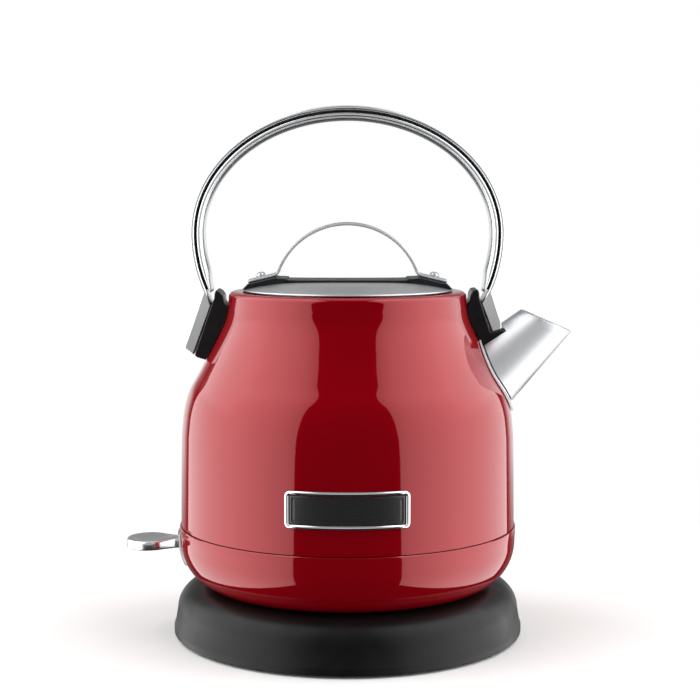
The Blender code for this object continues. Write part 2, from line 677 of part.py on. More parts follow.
def lid_plate(mats):
    dome = mm((0.0, 175.4), (32, 175.2), (36, 174.8), (40, 174.3), (48, 172.9), (51.1, 172.1))
    edge = mm((51.9, 171.7), (51.9, 171.1), (51.3, 170.95), (50.4, 171.1))
    under = offset_line(dome, LID_SHEET)[-2::-1]
    under[-1] = (0, LID_TOP - LID_SHEET)
    turned("lid_plate", dome + edge + under, mats["brushed"], FINE)
    cup = mm((0, 161.0), (44.6, 161.0), (45.3, 161.7), (45.3, 172.0), (44.0, 172.0), (44.0, 162.4))
    turned("lid_inner_cap", [*cup, (0, 162.4 * MM)], mats["brushed"], ROUND)
    ring = mm((45.6, 164.6), (46.6, 165.4), (46.6, 166.4), (45.6, 167.4))
    turned("lid_gasket", ring, mats["rubber"], ROUND)
    return dome


def lid_saddle(mats, dome):
    top = mm((50.6, 172.7), (48.6, 174.7), (46.4, 175.2), (36.7, 177.45), (33.6, 177.4), (29.5, 177.2))
    low = mm((50.6, 172.4), (48.6, 173.05), (46.4, 173.45), (36.7, 175.05), (33.6, 175.35), (29.5, 175.6))
    upper = mirrored(top + mm((25, 176.5)))
    lower = mirrored(low + mm((25, 175.7)))
    saddle = banded("lid_saddle", upper, lower, FLAT_BAR, SADDLE_WIDTH / 2, mats["black"])
    bed = [(0, LID_TOP + GAP), *offset_line(dome[1:], -GAP), (52 * MM, 165 * MM), (0, 165 * MM)]
    boolean(saddle, turned("saddle_bed", bed, None, FINE))
    return saddle


def lid_strap(mats):
    centre = (0, LOOP_TOP - LOOP_RADIUS)
    inner_radius = LOOP_RADIUS - LOOP_THICKNESS
    loop_outer = arc(centre, (LOOP_RADIUS, LOOP_RADIUS), 20, 90, 7)
    loop_inner = arc(centre, (inner_radius, inner_radius), 20, 90, 7)
    outer = mirrored(mm((49.0, 176.1), (38.0, 178.75)) + loop_outer[:-1])
    inner = mirrored(mm((48.7, 174.95), (37.0, 177.7)) + loop_inner[:-1])
    middle = len(outer) // 2
    outer.insert(middle, loop_outer[-1])
    inner.insert(middle, loop_inner[-1])
    return banded("lid_strap", outer, inner, FLAT_BAR, LOOP_WIDTH / 2, mats["brushed"])


def lid_rivets(mats, strap, saddle):
    slope = math.atan2(2.65, 11.0)
    pin = mm((0, -1.0), (RIVET_RADIUS / MM, -1.0), (RIVET_RADIUS / MM, 1.1))
    head = mm((2.35, 1.1), (2.35, 2.4), (1.6, 3.0), (0, 3.1))
    for side, name in ((-1, "left"), (1, "right")):
        out = Vector((side * math.sin(slope), 0, math.cos(slope)))
        foot = Vector((side * 42.6 * MM, 0, 176.9 * MM))
        reach = out * 3 * MM
        boolean(strap, rod(f"rivet_hole_{name}", foot - reach, foot + reach, RIVET_RADIUS + GAP))
        boolean(saddle, rod(f"rivet_pocket_{name}", foot - reach / 2, foot + reach, RIVET_RADIUS + 0.4 * MM))
        rivet = turned(f"lid_rivet_{name}", pin + head, mats["brushed"], SMALL)
        rivet.matrix_world = Matrix.Translation(foot) @ Matrix.Rotation(side * slope, 4, "Y")


def main():
    clear_scene()
    mats = make_materials()
    base_shell(mats)
    base_floor(mats)
    connector_post(mats)
    base_electrics(mats)
    coupler(mats)
    shell = body_shell(mats)
    lower_shell(mats)
    underside(mats)
    heater(mats)
    frame = handle(mats)
    handle_mounts(mats, frame, shell)
    spout(mats)
    spout_filter(mats)
    badge(mats)
    switch_plate(mats)
    switch_lever(mats)
    control(mats)
    dome = lid_plate(mats)
    saddle = lid_saddle(mats, dome)
    strap = lid_strap(mats)
    lid_rivets(mats, strap, saddle)


main()
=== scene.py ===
import json
import math

import bmesh
import bpy
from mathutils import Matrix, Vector

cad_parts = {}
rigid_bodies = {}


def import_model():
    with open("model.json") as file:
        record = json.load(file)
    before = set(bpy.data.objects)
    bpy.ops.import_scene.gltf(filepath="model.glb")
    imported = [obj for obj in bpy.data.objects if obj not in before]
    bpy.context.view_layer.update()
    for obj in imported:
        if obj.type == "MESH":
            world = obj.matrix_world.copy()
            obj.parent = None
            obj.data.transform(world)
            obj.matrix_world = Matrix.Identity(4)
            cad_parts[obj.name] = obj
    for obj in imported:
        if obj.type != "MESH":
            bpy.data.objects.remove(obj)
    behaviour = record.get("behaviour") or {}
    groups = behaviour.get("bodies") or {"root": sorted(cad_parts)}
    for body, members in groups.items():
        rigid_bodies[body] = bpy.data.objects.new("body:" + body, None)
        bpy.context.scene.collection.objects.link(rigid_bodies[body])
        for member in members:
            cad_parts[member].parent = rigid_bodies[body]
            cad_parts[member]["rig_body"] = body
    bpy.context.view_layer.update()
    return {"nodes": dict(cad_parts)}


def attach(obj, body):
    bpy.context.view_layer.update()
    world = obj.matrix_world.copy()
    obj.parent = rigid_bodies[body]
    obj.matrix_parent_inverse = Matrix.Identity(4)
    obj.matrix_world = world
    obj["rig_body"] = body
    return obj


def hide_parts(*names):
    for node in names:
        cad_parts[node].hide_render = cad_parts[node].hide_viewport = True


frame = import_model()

mm = 0.001
fullTurn = math.tau
gap = 0.3 * mm  # clear room between two pieces
hair = 0.002 * mm  # points closer than this are one


# Nodes and materials


def addNode(tree, kind, inputs=None, **settings):
    # an input takes a value, a socket, or another node for its first output
    made = tree.nodes.new(kind)
    for key, value in settings.items():
        setattr(made, key, value)
    for key, value in (inputs or {}).items():
        if isinstance(value, bpy.types.Node):
            value = value.outputs[0]
        if isinstance(value, bpy.types.NodeSocket):
            tree.links.new(value, made.inputs[key])
        else:
            made.inputs[key].default_value = value
    return made


def hexColour(text):
    # sRGB hex to the linear values that the shader wants
    linear = []
    for start in (1, 3, 5):
        level = int(text[start:start + 2], 16) / 255
        linear.append(level / 12.92 if level <= 0.04045 else ((level + 0.055) / 1.055) ** 2.4)
    return (*linear, 1.0)


def newMaterial(name, values):
    material = bpy.data.materials.new(name)
    material.use_nodes = True
    tree = material.node_tree
    shader = tree.nodes["Principled BSDF"]
    for key, value in values.items():
        shader.inputs[key].default_value = value
    place = addNode(tree, "ShaderNodeTexCoord").outputs["Object"]
    return material, tree, shader, place


def mottle(tree, shader, place, look):
    # slow change of colour over the piece, from one hex value to the other
    cloud = addNode(tree, "ShaderNodeTexNoise", {
        "Vector": place, "Scale": 1 / (look["patch"] * mm), "Detail": 3.0})
    dark, light = (hexColour(text) for text in look["colours"])
    blend = addNode(tree, "ShaderNodeMix", {"Factor": cloud, "A": dark, "B": light}, data_type="RGBA")
    tree.links.new(blend.outputs["Result"], shader.inputs["Base Color"])


def smudge(tree, shader, place, look):
    # handling marks and dust: roughness wanders between two values
    cloud = addNode(tree, "ShaderNodeTexNoise", {
        "Vector": place, "Scale": 1 / (look["smudge"] * mm), "Detail": 6.0, "Roughness": 0.62})
    low, high = look["roughness"]
    spread = addNode(tree, "ShaderNodeMapRange", {
        "Value": cloud, "From Min": 0.35, "From Max": 0.68, "To Min": low, "To Max": high})
    tree.links.new(spread.outputs["Result"], shader.inputs["Roughness"])


def grain(tree, shader, place, look, targets=("Normal",)):
    # fine relief, its width and height given in millimetres
    cloud = addNode(tree, "ShaderNodeTexNoise", {
        "Vector": place, "Scale": 1 / (look["grain"] * mm), "Detail": 2.0})
    relief = addNode(tree, "ShaderNodeBump", {
        "Height": cloud, "Distance": look["height"] * mm, "Strength": look["strength"]})
    for target in targets:
        tree.links.new(relief.outputs["Normal"], shader.inputs[target])


def brush(tree, shader, place, look):
    # long scratches: noise stretched along the way that the belt or the wheel ran
    across, along = 1 / (look["width"] * mm), 1 / (look["length"] * mm)
    stretch = tuple(along if axis == look["way"] else across for axis in "XYZ")
    if look["way"] == "round":
        split = addNode(tree, "ShaderNodeSeparateXYZ", {"Vector": place})
        x, y, z = split.outputs
        turn = addNode(tree, "ShaderNodeMath", {0: y, 1: x}, operation="ARCTAN2")
        slow = addNode(tree, "ShaderNodeMath", {0: turn, 1: look["length"] * mm}, operation="MULTIPLY")
        flat = addNode(tree, "ShaderNodeCombineXYZ", {"X": x, "Y": y})
        reach = addNode(tree, "ShaderNodeVectorMath", {0: flat}, operation="LENGTH")
        place = addNode(tree, "ShaderNodeCombineXYZ", {"X": slow, "Y": reach.outputs["Value"], "Z": z})
        stretch = (along, across, across)
        # the gleam spreads across the scratches, so it fans out from the middle
        circle = addNode(tree, "ShaderNodeTangent", direction_type="RADIAL", axis="Z")
        tree.links.new(circle.outputs["Tangent"], shader.inputs["Tangent"])
        shader.inputs["Anisotropic Rotation"].default_value = 0.25
    laid = addNode(tree, "ShaderNodeMapping", {"Vector": place, "Scale": stretch})
    lines = addNode(tree, "ShaderNodeTexNoise", {
        "Vector": laid, "Scale": 1.0, "Detail": 5.0, "Roughness": 0.7})
    low, high = look["roughness"]
    spread = addNode(tree, "ShaderNodeMapRange", {
        "Value": lines, "From Min": 0.3, "From Max": 0.7, "To Min": low, "To Max": high})
    dark, light = (hexColour(text) for text in look["colours"])
    blend = addNode(tree, "ShaderNodeMix", {"Factor": lines, "A": dark, "B": light}, data_type="RGBA")
    relief = addNode(tree, "ShaderNodeBump", {
        "Height": lines, "Distance": look["height"] * mm, "Strength": 1.0})
    for socket, target in ((spread.outputs["Result"], "Roughness"), (blend.outputs["Result"], "Base Color"),
                           (relief.outputs["Normal"], "Normal")):
        tree.links.new(socket, shader.inputs[target])


def plainMaterial(name, values, look, bumped=("Normal",)):
    material, tree, shader, place = newMaterial(name, values)
    mottle(tree, shader, place, look)
    smudge(tree, shader, place, look)
    grain(tree, shader, place, look, bumped)
    return material


# Candy red enamel on steel: a metallic red ground under clear lacquer. The lamps show twice,
# once sharp and white in the lacquer and once soft and red in the ground.
enamelLook = {"colours": ("#8e000e", "#980012"), "patch": 60, "smudge": 14, "roughness": (0.1, 0.13),
              "grain": 1.6, "height": 0.004, "strength": 0.3}


def makeEnamel():
    # the grain is the orange peel of the sprayed lacquer, so the coat follows it too
    return plainMaterial("Enamel_candy_red_sprayed", {
        "Metallic": 0.27, "Specular IOR Level": 0.0, "Coat Weight": 1.0, "Coat Roughness": 0.03,
        "Coat IOR": 1.5}, enamelLook, ("Normal", "Coat Normal"))


# Chrome plate, buffed: near mirror, with a few dull finger marks.
chromeLook = {"colours": ("#dcdee0", "#e8eaeb"), "patch": 30, "smudge": 9, "roughness": (0.03, 0.1),
              "grain": 6.0, "height": 0.003, "strength": 0.3}


# Satin chrome of the hoop: plated over a fine linished ground, so that its edges glow softly.
satinLook = {"colours": ("#dcdee0", "#eaecec"), "patch": 30, "smudge": 11, "roughness": (0.2, 0.28),
             "grain": 3.0, "height": 0.002, "strength": 0.3}


# Stainless steel, brushed: soft grey streaks in one direction. Real scratches are about 0.05 mm wide,
# too fine to show, so they are drawn 0.25 mm wide.
steelLook = {"colours": ("#b9bbbe", "#d4d6d8"), "length": 22, "width": 0.25,
             "roughness": (0.32, 0.44), "height": 0.002}


def makeSteel(name, way, colours=steelLook["colours"]):
    material, tree, shader, place = newMaterial(name, {"Metallic": 1.0, "Anisotropic": 0.4})
    brush(tree, shader, place, {**steelLook, "way": way, "colours": colours})
    return material


# Polypropylene, moulded: black with the fine matte grain that the spark-eroded mould leaves.
plasticLooks = {
    "Polypropylene_black_moulded": {
        "colours": ("#0d0d0e", "#131314"), "patch": 45, "smudge": 12, "specular": 0.22,
        "roughness": (0.36, 0.46), "grain": 0.45, "height": 0.012, "strength": 0.6},
    # nylon of the mounts and the saddle: smoother, so it shines a little more
    "Nylon_black_satin": {
        "colours": ("#161717", "#1f2020"), "patch": 30, "smudge": 8,
        "roughness": (0.26, 0.4), "grain": 0.5, "height": 0.005, "strength": 0.5},
    # heatproof nylon of the connectors, warm white
    "Nylon_heatproof_white": {
        "colours": ("#cfcabd", "#dcd8cc"), "patch": 20, "smudge": 8,
        "roughness": (0.42, 0.55), "grain": 0.5, "height": 0.008, "strength": 0.5},
    # silicone rubber, dull and slightly dusty
    "Silicone_rubber_black": {
        "colours": ("#161617", "#232324"), "patch": 12, "smudge": 5,
        "roughness": (0.7, 0.9), "grain": 0.35, "height": 0.015, "strength": 0.7},
}


def makePlastic(name):
    look = plasticLooks[name]
    return plainMaterial(name, {"Specular IOR Level": look.get("specular", 0.4)}, look)


# Anodised aluminium of the badge: black, fine lengthwise brushing under the colour.
badgeLook = {"colours": ("#262628", "#3a3a3c"), "length": 18, "width": 0.2,
             "roughness": (0.22, 0.34), "height": 0.002}


def makeBadgeBlack():
    material, tree, shader, place = newMaterial("Aluminium_black_anodised", {
        "Metallic": 0.35, "Coat Weight": 0.5, "Coat Roughness": 0.08})
    brush(tree, shader, place, {**badgeLook, "way": "X"})
    return material


metalLooks = {
    # brass of the contacts, drawn and a little tarnished
    "Brass_drawn": {
        "colours": ("#b8924a", "#d3b068"), "patch": 4, "smudge": 3,
        "roughness": (0.2, 0.4), "grain": 0.8, "height": 0.004, "strength": 0.4},
    # aluminium of the element, cast and dull
    "Aluminium_cast": {
        "colours": ("#9b9da0", "#b2b4b6"), "patch": 6, "smudge": 4,
        "roughness": (0.38, 0.55), "grain": 0.7, "height": 0.02, "strength": 0.6},
    # zinc plate of the screws, bright with a faint cloudiness
    "Zinc_plate_bright": {
        "colours": ("#b9bcc0", "#d0d2d4"), "patch": 2, "smudge": 2,
        "roughness": (0.16, 0.34), "grain": 0.6, "height": 0.003, "strength": 0.4},
}


def makeMetal(name, look=None):
    return plainMaterial(name, {"Metallic": 1.0}, look or metalLooks[name])


enamelRed = makeEnamel()
chromePlate = makeMetal("Chrome_plate_buffed", chromeLook)
chromeSatin = makeMetal("Chrome_plate_satin", satinLook)
steelRound = makeSteel("Stainless_steel_brushed_round", "round", ("#bcbec1", "#d6d8da"))
steelAlong = makeSteel("Stainless_steel_brushed_along", "X")
steelAcross = makeSteel("Stainless_steel_brushed_across", "Y")
plasticBlack = makePlastic("Polypropylene_black_moulded")
nylonBlack = makePlastic("Nylon_black_satin")
nylonWhite = makePlastic("Nylon_heatproof_white")
rubberBlack = makePlastic("Silicone_rubber_black")
badgeBlack = makeBadgeBlack()
brassDrawn = makeMetal("Brass_drawn")
aluminiumCast = makeMetal("Aluminium_cast")
zincPlate = makeMetal("Zinc_plate_bright")
print("materials made")


# Lines and outlines: pairs of radius or x and height, in metres


def scaled(*pairs):
    return [(u * mm, v * mm) for u, v in pairs]


def smoothCurve(points, perSpan):
    ends = [points[0], *points, points[-1]]
    curve = []
    for before, start, stop, after in zip(ends, ends[1:], ends[2:], ends[3:]):
        for step in range(perSpan):
            t = step / perSpan
            pair = []
            for a, b, c, d in zip(before, start, stop, after):
                bend = 2 * a - 5 * b + 4 * c - d
                pair.append(0.5 * (2 * b + (c - a) * t + bend * t**2 + (3 * b - a - 3 * c + d) * t**3))
            curve.append(tuple(pair))
    curve.append(points[-1])
    return curve


def arcLine(centre, radii, start, stop, steps):
    points = []
    for step in range(steps + 1):
        angle = math.radians(start + (stop - start) * step / steps)
        points.append((centre[0] + radii[0] * math.cos(angle), centre[1] + radii[1] * math.sin(angle)))
    return points


def offsetLine(points, distance):
    # moved sideways: positive goes to the right of the line's direction
    moved = []
    for index, point in enumerate(points):
        before, after = points[max(index - 1, 0)], points[min(index + 1, len(points) - 1)]
        du, dv = after[0] - before[0], after[1] - before[1]
        length = math.hypot(du, dv)
        moved.append((point[0] + distance * dv / length, point[1] - distance * du / length))
    return moved


def softened(points, radius, steps=4, closed=True):
    # every corner sharper than 12 degrees gets a small fillet, so that edges catch the light
    count = len(points)
    result = []
    for index, corner in enumerate(points):
        if not closed and index in (0, count - 1):
            result.append(corner)
            continue
        here = Vector(corner)
        back = Vector(points[index - 1]) - here
        ahead = Vector(points[(index + 1) % count]) - here
        bendAngle = math.pi - back.angle(ahead, math.pi)
        if bendAngle < math.radians(12):
            result.append(corner)
            continue
        reach = min(radius * math.tan(bendAngle / 2), 0.45 * back.length, 0.45 * ahead.length)
        first, last = here + back.normalized() * reach, here + ahead.normalized() * reach
        for step in range(steps + 1):
            t = step / steps
            result.append(tuple((1 - t) ** 2 * first + 2 * t * (1 - t) * here + t * t * last))
    return result


def ellipse(centre, radii, steps):
    return arcLine(centre, radii, 0, 360, steps)[:-1]


def mirrored(points):
    # the line runs on over the middle to the other side
    return points + [(-x, z) for x, z in reversed(points)]


def roundedOutline(centre, halfWidth, halfHeight, radius, steps=8):
    points = []
    for side, level, turn in ((1, 1, 0), (-1, 1, 90), (-1, -1, 180), (1, -1, 270)):
        middle = (centre[0] + side * (halfWidth - radius), centre[1] + level * (halfHeight - radius))
        points += arcLine(middle, (radius, radius), turn, turn + 90, steps)
    return points


def plateOutline(middle, halfWidth, halfHeight, radius):
    # upright and centred, sizes in millimetres
    return roundedOutline((0, middle * mm), halfWidth * mm, halfHeight * mm, radius * mm)


# Making pieces


def bodyOf(node):
    return frame["nodes"][node]["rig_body"]


def linked(name, data):
    piece = bpy.data.objects.new(name, data)
    bpy.context.scene.collection.objects.link(piece)
    return piece


def meshPiece(name, bm, material):
    bmesh.ops.remove_doubles(bm, verts=bm.verts, dist=hair / 2)
    bmesh.ops.recalc_face_normals(bm, faces=bm.faces)
    mesh = bpy.data.meshes.new(name)
    bm.to_mesh(mesh)
    bm.free()
    if material:
        mesh.materials.append(material)
    return linked(name, mesh)


def settle(piece):
    # the evaluated shape becomes the piece's own plain mesh
    graph = bpy.context.evaluated_depsgraph_get()
    made = bpy.data.meshes.new_from_object(piece.evaluated_get(graph))
    piece.modifiers.clear()
    piece.data = made


def smoothShade(piece, sharp=38):
    piece.data.shade_smooth()
    piece.data.set_sharp_from_angle(angle=math.radians(sharp))


def standFor(piece, *nodes, sharp=38, flatFaces=False):
    smoothShade(piece, sharp)
    if flatFaces:
        # shading follows the large faces, so that a flat stays flat beside its rounded edge
        modifier = piece.modifiers.new("flat_faces", "WEIGHTED_NORMAL")
        modifier.keep_sharp = True
        settle(piece)
    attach(piece, bodyOf(nodes[0]))
    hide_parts(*nodes)


def cut(piece, cutter, operation="DIFFERENCE", solver="EXACT"):
    modifier = piece.modifiers.new("cut", "BOOLEAN")
    modifier.operation = operation
    modifier.solver = solver
    modifier.object = cutter
    settle(piece)
    bpy.data.objects.remove(cutter, do_unlink=True)


def bevelled(piece, width, segments=2, angle=40):
    modifier = piece.modifiers.new("soft_edges", "BEVEL")
    modifier.width = width * mm
    modifier.segments = segments
    modifier.limit_method = "ANGLE"
    modifier.angle_limit = math.radians(angle)
    settle(piece)


def lofted(name, sections, material, closed=False):
    bm = bmesh.new()
    rings = [[bm.verts.new(point) for point in section] for section in sections]
    pairs = list(zip(rings, rings[1:]))
    if closed:
        pairs.append((rings[-1], rings[0]))
    for ring, following in pairs:
        for step in range(len(ring)):
            after = (step + 1) % len(ring)
            bm.faces.new((ring[step], ring[after], following[after], following[step]))
    if not closed:
        bm.faces.new(rings[0])
        bm.faces.new(reversed(rings[-1]))
    return meshPiece(name, bm, material)


def extruded(name, outline, axis, low, high, material=None):
    sections = []
    for level in (low, high):
        section = []
        for pair in outline:
            point = list(pair)
            point.insert("XYZ".index(axis), level)
            section.append(point)
        sections.append(section)
    return lofted(name, sections, material)


def cutThrough(piece, outline, axis, low, high, operation="DIFFERENCE"):
    # a straight cutter along one axis, its two ends in millimetres
    cut(piece, extruded("cutter", outline, axis, low * mm, high * mm), operation)


def bentBar(name, outer, inner, halfWidth, radius, material, bow=None):
    # a bar bent in the XZ plane between an outer and an inner line, with rounded long edges
    rings = []
    for start, stop in zip(outer, inner):
        start, stop = Vector(start), Vector(stop)
        depth = (stop - start).length
        if bow:
            section = [(t * depth, s * halfWidth) for t, s in bow]
        else:
            fillet = min(radius, 0.49 * depth)
            section = roundedOutline((depth / 2, 0), depth / 2, halfWidth, fillet, 5)
        way = (stop - start) / depth
        rings.append([(start.x + way.x * d, across, start.y + way.y * d) for d, across in section])
    return lofted(name, rings, material)


# The lathe: a grid is wound round the axis, and each row takes its radius and height from the outline


def newTree(name, sockets):
    tree = bpy.data.node_groups.new(name, "GeometryNodeTree")
    tree.interface.new_socket("Geometry", in_out="OUTPUT", socket_type="NodeSocketGeometry")
    tree.interface.new_socket("Geometry", in_out="INPUT", socket_type="NodeSocketGeometry")
    for label, kind in sockets.items():
        tree.interface.new_socket(label, in_out="INPUT", socket_type=kind)
    start = addNode(tree, "NodeGroupInput")
    return tree, start.outputs


def endTree(tree, geometry, material):
    real = addNode(tree, "GeometryNodeRealizeInstances", {"Geometry": geometry})
    painted = addNode(tree, "GeometryNodeSetMaterial", {"Geometry": real, "Material": material})
    addNode(tree, "NodeGroupOutput", {"Geometry": painted})


def makeLatheTree():
    tree, given = newTree("lathe", {"Segments": "NodeSocketInt", "Material": "NodeSocketMaterial"})
    size = addNode(tree, "GeometryNodeAttributeDomainSize", {"Geometry": given["Geometry"]}, component="MESH")
    rows = size.outputs["Point Count"]
    columns = addNode(tree, "ShaderNodeMath", {0: given["Segments"], 1: 1.0}, operation="ADD")
    sheet = addNode(tree, "GeometryNodeMeshGrid", {
        "Size X": 1.0, "Size Y": 1.0, "Vertices X": columns, "Vertices Y": rows})
    spot = addNode(tree, "GeometryNodeInputPosition")
    split = addNode(tree, "ShaderNodeSeparateXYZ", {"Vector": spot})
    spans = addNode(tree, "ShaderNodeMath", {0: rows, 1: 1.0}, operation="SUBTRACT")
    share = addNode(tree, "ShaderNodeMath", {0: split.outputs["Y"], 1: 0.5}, operation="ADD")
    row = addNode(tree, "ShaderNodeMath", {0: share, 1: spans, 2: 0.5}, operation="MULTIPLY_ADD")
    whole = addNode(tree, "ShaderNodeMath", {0: row}, operation="FLOOR")
    sample = addNode(tree, "GeometryNodeSampleIndex", {
        "Geometry": given["Geometry"], "Value": spot.outputs[0], "Index": whole},
        data_type="FLOAT_VECTOR", domain="POINT")
    outline = addNode(tree, "ShaderNodeSeparateXYZ", {"Vector": sample})
    angle = addNode(tree, "ShaderNodeMath", {0: split.outputs["X"], 1: fullTurn}, operation="MULTIPLY")
    wound = {"Z": outline.outputs["Z"]}
    for axis, operation in (("X", "COSINE"), ("Y", "SINE")):
        swing = addNode(tree, "ShaderNodeMath", {0: angle}, operation=operation)
        reach = {0: swing, 1: outline.outputs["X"]}
        wound[axis] = addNode(tree, "ShaderNodeMath", reach, operation="MULTIPLY")
    target = addNode(tree, "ShaderNodeCombineXYZ", wound)
    moved = addNode(tree, "GeometryNodeSetPosition", {"Geometry": sheet, "Position": target})
    joined = addNode(tree, "GeometryNodeMergeByDistance", {"Geometry": moved, "Distance": hair})
    endTree(tree, joined, given["Material"])
    return tree


def runTree(piece, tree, values):
    modifier = piece.modifiers.new(tree.name, "NODES")
    modifier.node_group = tree
    for item in tree.interface.items_tree:
        if item.item_type == "SOCKET" and item.in_out == "INPUT" and item.name in values:
            modifier[item.identifier] = values[item.name]
    settle(piece)


latheTree = makeLatheTree()


def turned(name, outline, material, segments=128, centre=(0, 0)):
    mesh = bpy.data.meshes.new(name)
    ring = list(outline) + [outline[0]]
    mesh.from_pydata([(radius, 0, height) for radius, height in ring], [], [])
    piece = linked(name, mesh)
    runTree(piece, latheTree, {"Segments": segments, "Material": material})
    bm = bmesh.new()
    bm.from_mesh(piece.data)
    bmesh.ops.dissolve_degenerate(bm, dist=hair, edges=bm.edges)
    # an outline that runs along the axis leaves a bare edge there
    bmesh.ops.delete(bm, geom=[edge for edge in bm.edges if not edge.link_faces], context="EDGES")
    bmesh.ops.recalc_face_normals(bm, faces=bm.faces)
    bmesh.ops.translate(bm, verts=bm.verts, vec=(centre[0], centre[1], 0))
    bm.to_mesh(piece.data)
    bm.free()
    return piece


# The kettle's wall lines

shell = {
    "wall": ((82.9, 55.45), (82.6, 80.0), (82.2, 101.0)),
    "shoulder": ((81.0, 112.0), (78.2, 122.0), (73.0, 131.5), (65.9, 145.0)),
    "neck": ((60.4, 157.0), (59.0, 164.0), (58.7, 168.0)),
    "rimTop": 170.6, "rimRadius": 58.7, "rimRounding": 2.6, "rimTuck": 0.4, "mouthRadius": 47.0,
    "lipDepth": 7.0, "steel": 0.9, "lowerWall": 1.4, "floor": 25.3, "seatRadius": 62.9, "lipRounding": 1.2,
    # the seam and the straight piece under it, then the quarter ellipse of the bottom
    "seam": ((83.3, 55.05), (83.6, 54.8), (83.7, 54.3), (83.6, 51.0)),
    "bottomCentre": (64, 47.5), "bottomRadii": (19.4, 22.2),
    "portCentre": 131.0, "portRadii": (12.5, 11.5), "portReach": (60, 90),
    # opening for the lever: height of its middle, half sizes, corner, reach of the cutter
    "slotMiddle": 44.5, "slotHalf": (6.4, 5.4), "slotCorner": 2.0, "slotReach": (-90, -70),
}


def bodyLine(perSpan=8):
    wall, shoulder, neck = (scaled(*shell[part]) for part in ("wall", "shoulder", "neck"))
    return wall[:2] + smoothCurve(wall[2:] + shoulder + neck, perSpan)


def lowerLine():
    centre, radii = scaled(shell["bottomCentre"], shell["bottomRadii"])
    return scaled(*shell["seam"]) + arcLine(centre, radii, 0, -90, 24)


def lineRadius(line, height):
    for (r0, z0), (r1, z1) in zip(line, line[1:]):
        if z0 <= height <= z1:
            return r0 + (r1 - r0) * (height - z0) / (z1 - z0)
    return line[-1][0]


def bodySolid(distance):
    line = offsetLine(bodyLine(), distance)
    top = (line[-1][0], (shell["rimTop"] + 5) * mm)
    return turned("body_cutter", [(0, line[0][1]), *line, top, (0, top[1])], None)


def turnedPiece(name, node, points, rounding, material, segments, steps=3, closed=True):
    outline = softened(scaled(*points), rounding * mm, steps, closed=closed)
    standFor(turned(name, outline, material, segments), node)


def wallSkin(name, line, inside, outside, material):
    return turned(name, offsetLine(line, outside) + offsetLine(line, inside)[::-1], material, 192)


def makeBody():
    line = bodyLine()
    keys = ("steel", "rimTop", "rimRadius", "rimRounding", "mouthRadius")
    steel, rimTop, rimRadius, rounding, mouth = (shell[key] * mm for key in keys)
    rim = arcLine((rimRadius - rounding, rimTop - rounding), (rounding, rounding), 8, 90, 10)
    low = rimTop - shell["lipDepth"] * mm
    lip = softened([rim[-1], (mouth, rimTop), (mouth, low)], shell["lipRounding"] * mm, 6, False)[1:]
    turn = [(mouth + steel, low), (mouth + steel, rimTop - steel)]
    tuck = rimRadius - rounding - shell["rimTuck"] * mm
    inside = [(tuck, rimTop - steel), *offsetLine(line, -steel)[::-1]]
    body = turned("body_shell_red", line + rim + lip + turn + inside, enamelRed, 192)
    port = ellipse((0, shell["portCentre"] * mm), scaled(shell["portRadii"])[0], 32)
    cutThrough(body, port, "X", *shell["portReach"])
    standFor(body, "body_shell")


def makeLowerShell():
    outer, wall, floor = lowerLine(), shell["lowerWall"] * mm, shell["floor"] * mm
    lip = [(shell["seatRadius"] * mm, floor), (shell["seatRadius"] * mm, floor + wall)]
    inner = offsetLine(outer, wall)[::-1]
    inner[-1] = (outer[0][0] - wall, outer[0][1])
    inner[0] = (inner[0][0], floor + wall)
    lower = turned("lower_shell_red", outer + lip + inner, enamelRed, 192)
    slot = plateOutline(shell["slotMiddle"], *shell["slotHalf"], shell["slotCorner"])
    cutThrough(lower, slot, "X", *shell["slotReach"])
    standFor(lower, "lower_shell")


makeBody()
makeLowerShell()
print("body made")


# The power base

base = {
    "top": ((14.3, 30.0), (28.5, 30.0), (30.0, 29.5), (36.0, 25.4), (37.5, 25.0)),
    "side": ((86.0, 7.0), (86.8, 4.6), (86.8, 1.2)),
    "shoulderCentre": (72, 13.5), "shoulderRadii": (12.9, 11.5),
    "inner": ((84.5, 1.2), (84.5, 4.4), (83.8, 7.0)),
    "innerShoulderCentre": (72, 12.0), "innerShoulderRadii": (10.7, 10.8),
    "under": ((37.0, 22.8), (35.0, 23.4), (28.0, 27.8), (14.3, 27.8)),
    "topRounding": 1.2, "sideRounding": 0.7,
    "footRadius": 70.0, "footAngles": (45, 135, 225, 315),
    "screwRadius": 52.0, "screwAngles": (90, 210, 330), "screwLow": 2.25, "screwLength": 9.0,
}

# middle height, half sizes and corners of the gland and of its notch in the wall, and the cord's radius
gland = {"middle": 10.6, "half": (5.6, 5.0), "corner": 1.6, "reach": (79.5, 86.3), "edge": 0.6,
         "notchHalf": (5.9, 5.3), "notchCorner": 1.5, "notchReach": (78, 90),
         "cord": 3.3, "boreReach": (76, 90)}


def makeBaseShell():
    shoulder = arcLine(*scaled(base["shoulderCentre"], base["shoulderRadii"]), 90, 0, 24)
    inner, under = scaled(*base["inner"]), scaled(*base["under"])
    innerShoulder = arcLine(*scaled(base["innerShoulderCentre"], base["innerShoulderRadii"]), 0, 90, 8)
    top = softened(scaled(*base["top"]), base["topRounding"] * mm, 5, False)
    side = [shoulder[-1], *scaled(*base["side"]), inner[0]]
    side = softened(side, base["sideRounding"] * mm, 5, False)[1:-1]
    outline = top + shoulder + side + inner + innerShoulder + under
    hull = turned("base_shell_black", outline, plasticBlack, 192)
    notch = plateOutline(gland["middle"], *gland["notchHalf"], gland["notchCorner"])
    cutThrough(hull, notch, "Y", *gland["notchReach"])
    standFor(hull, "base_shell")


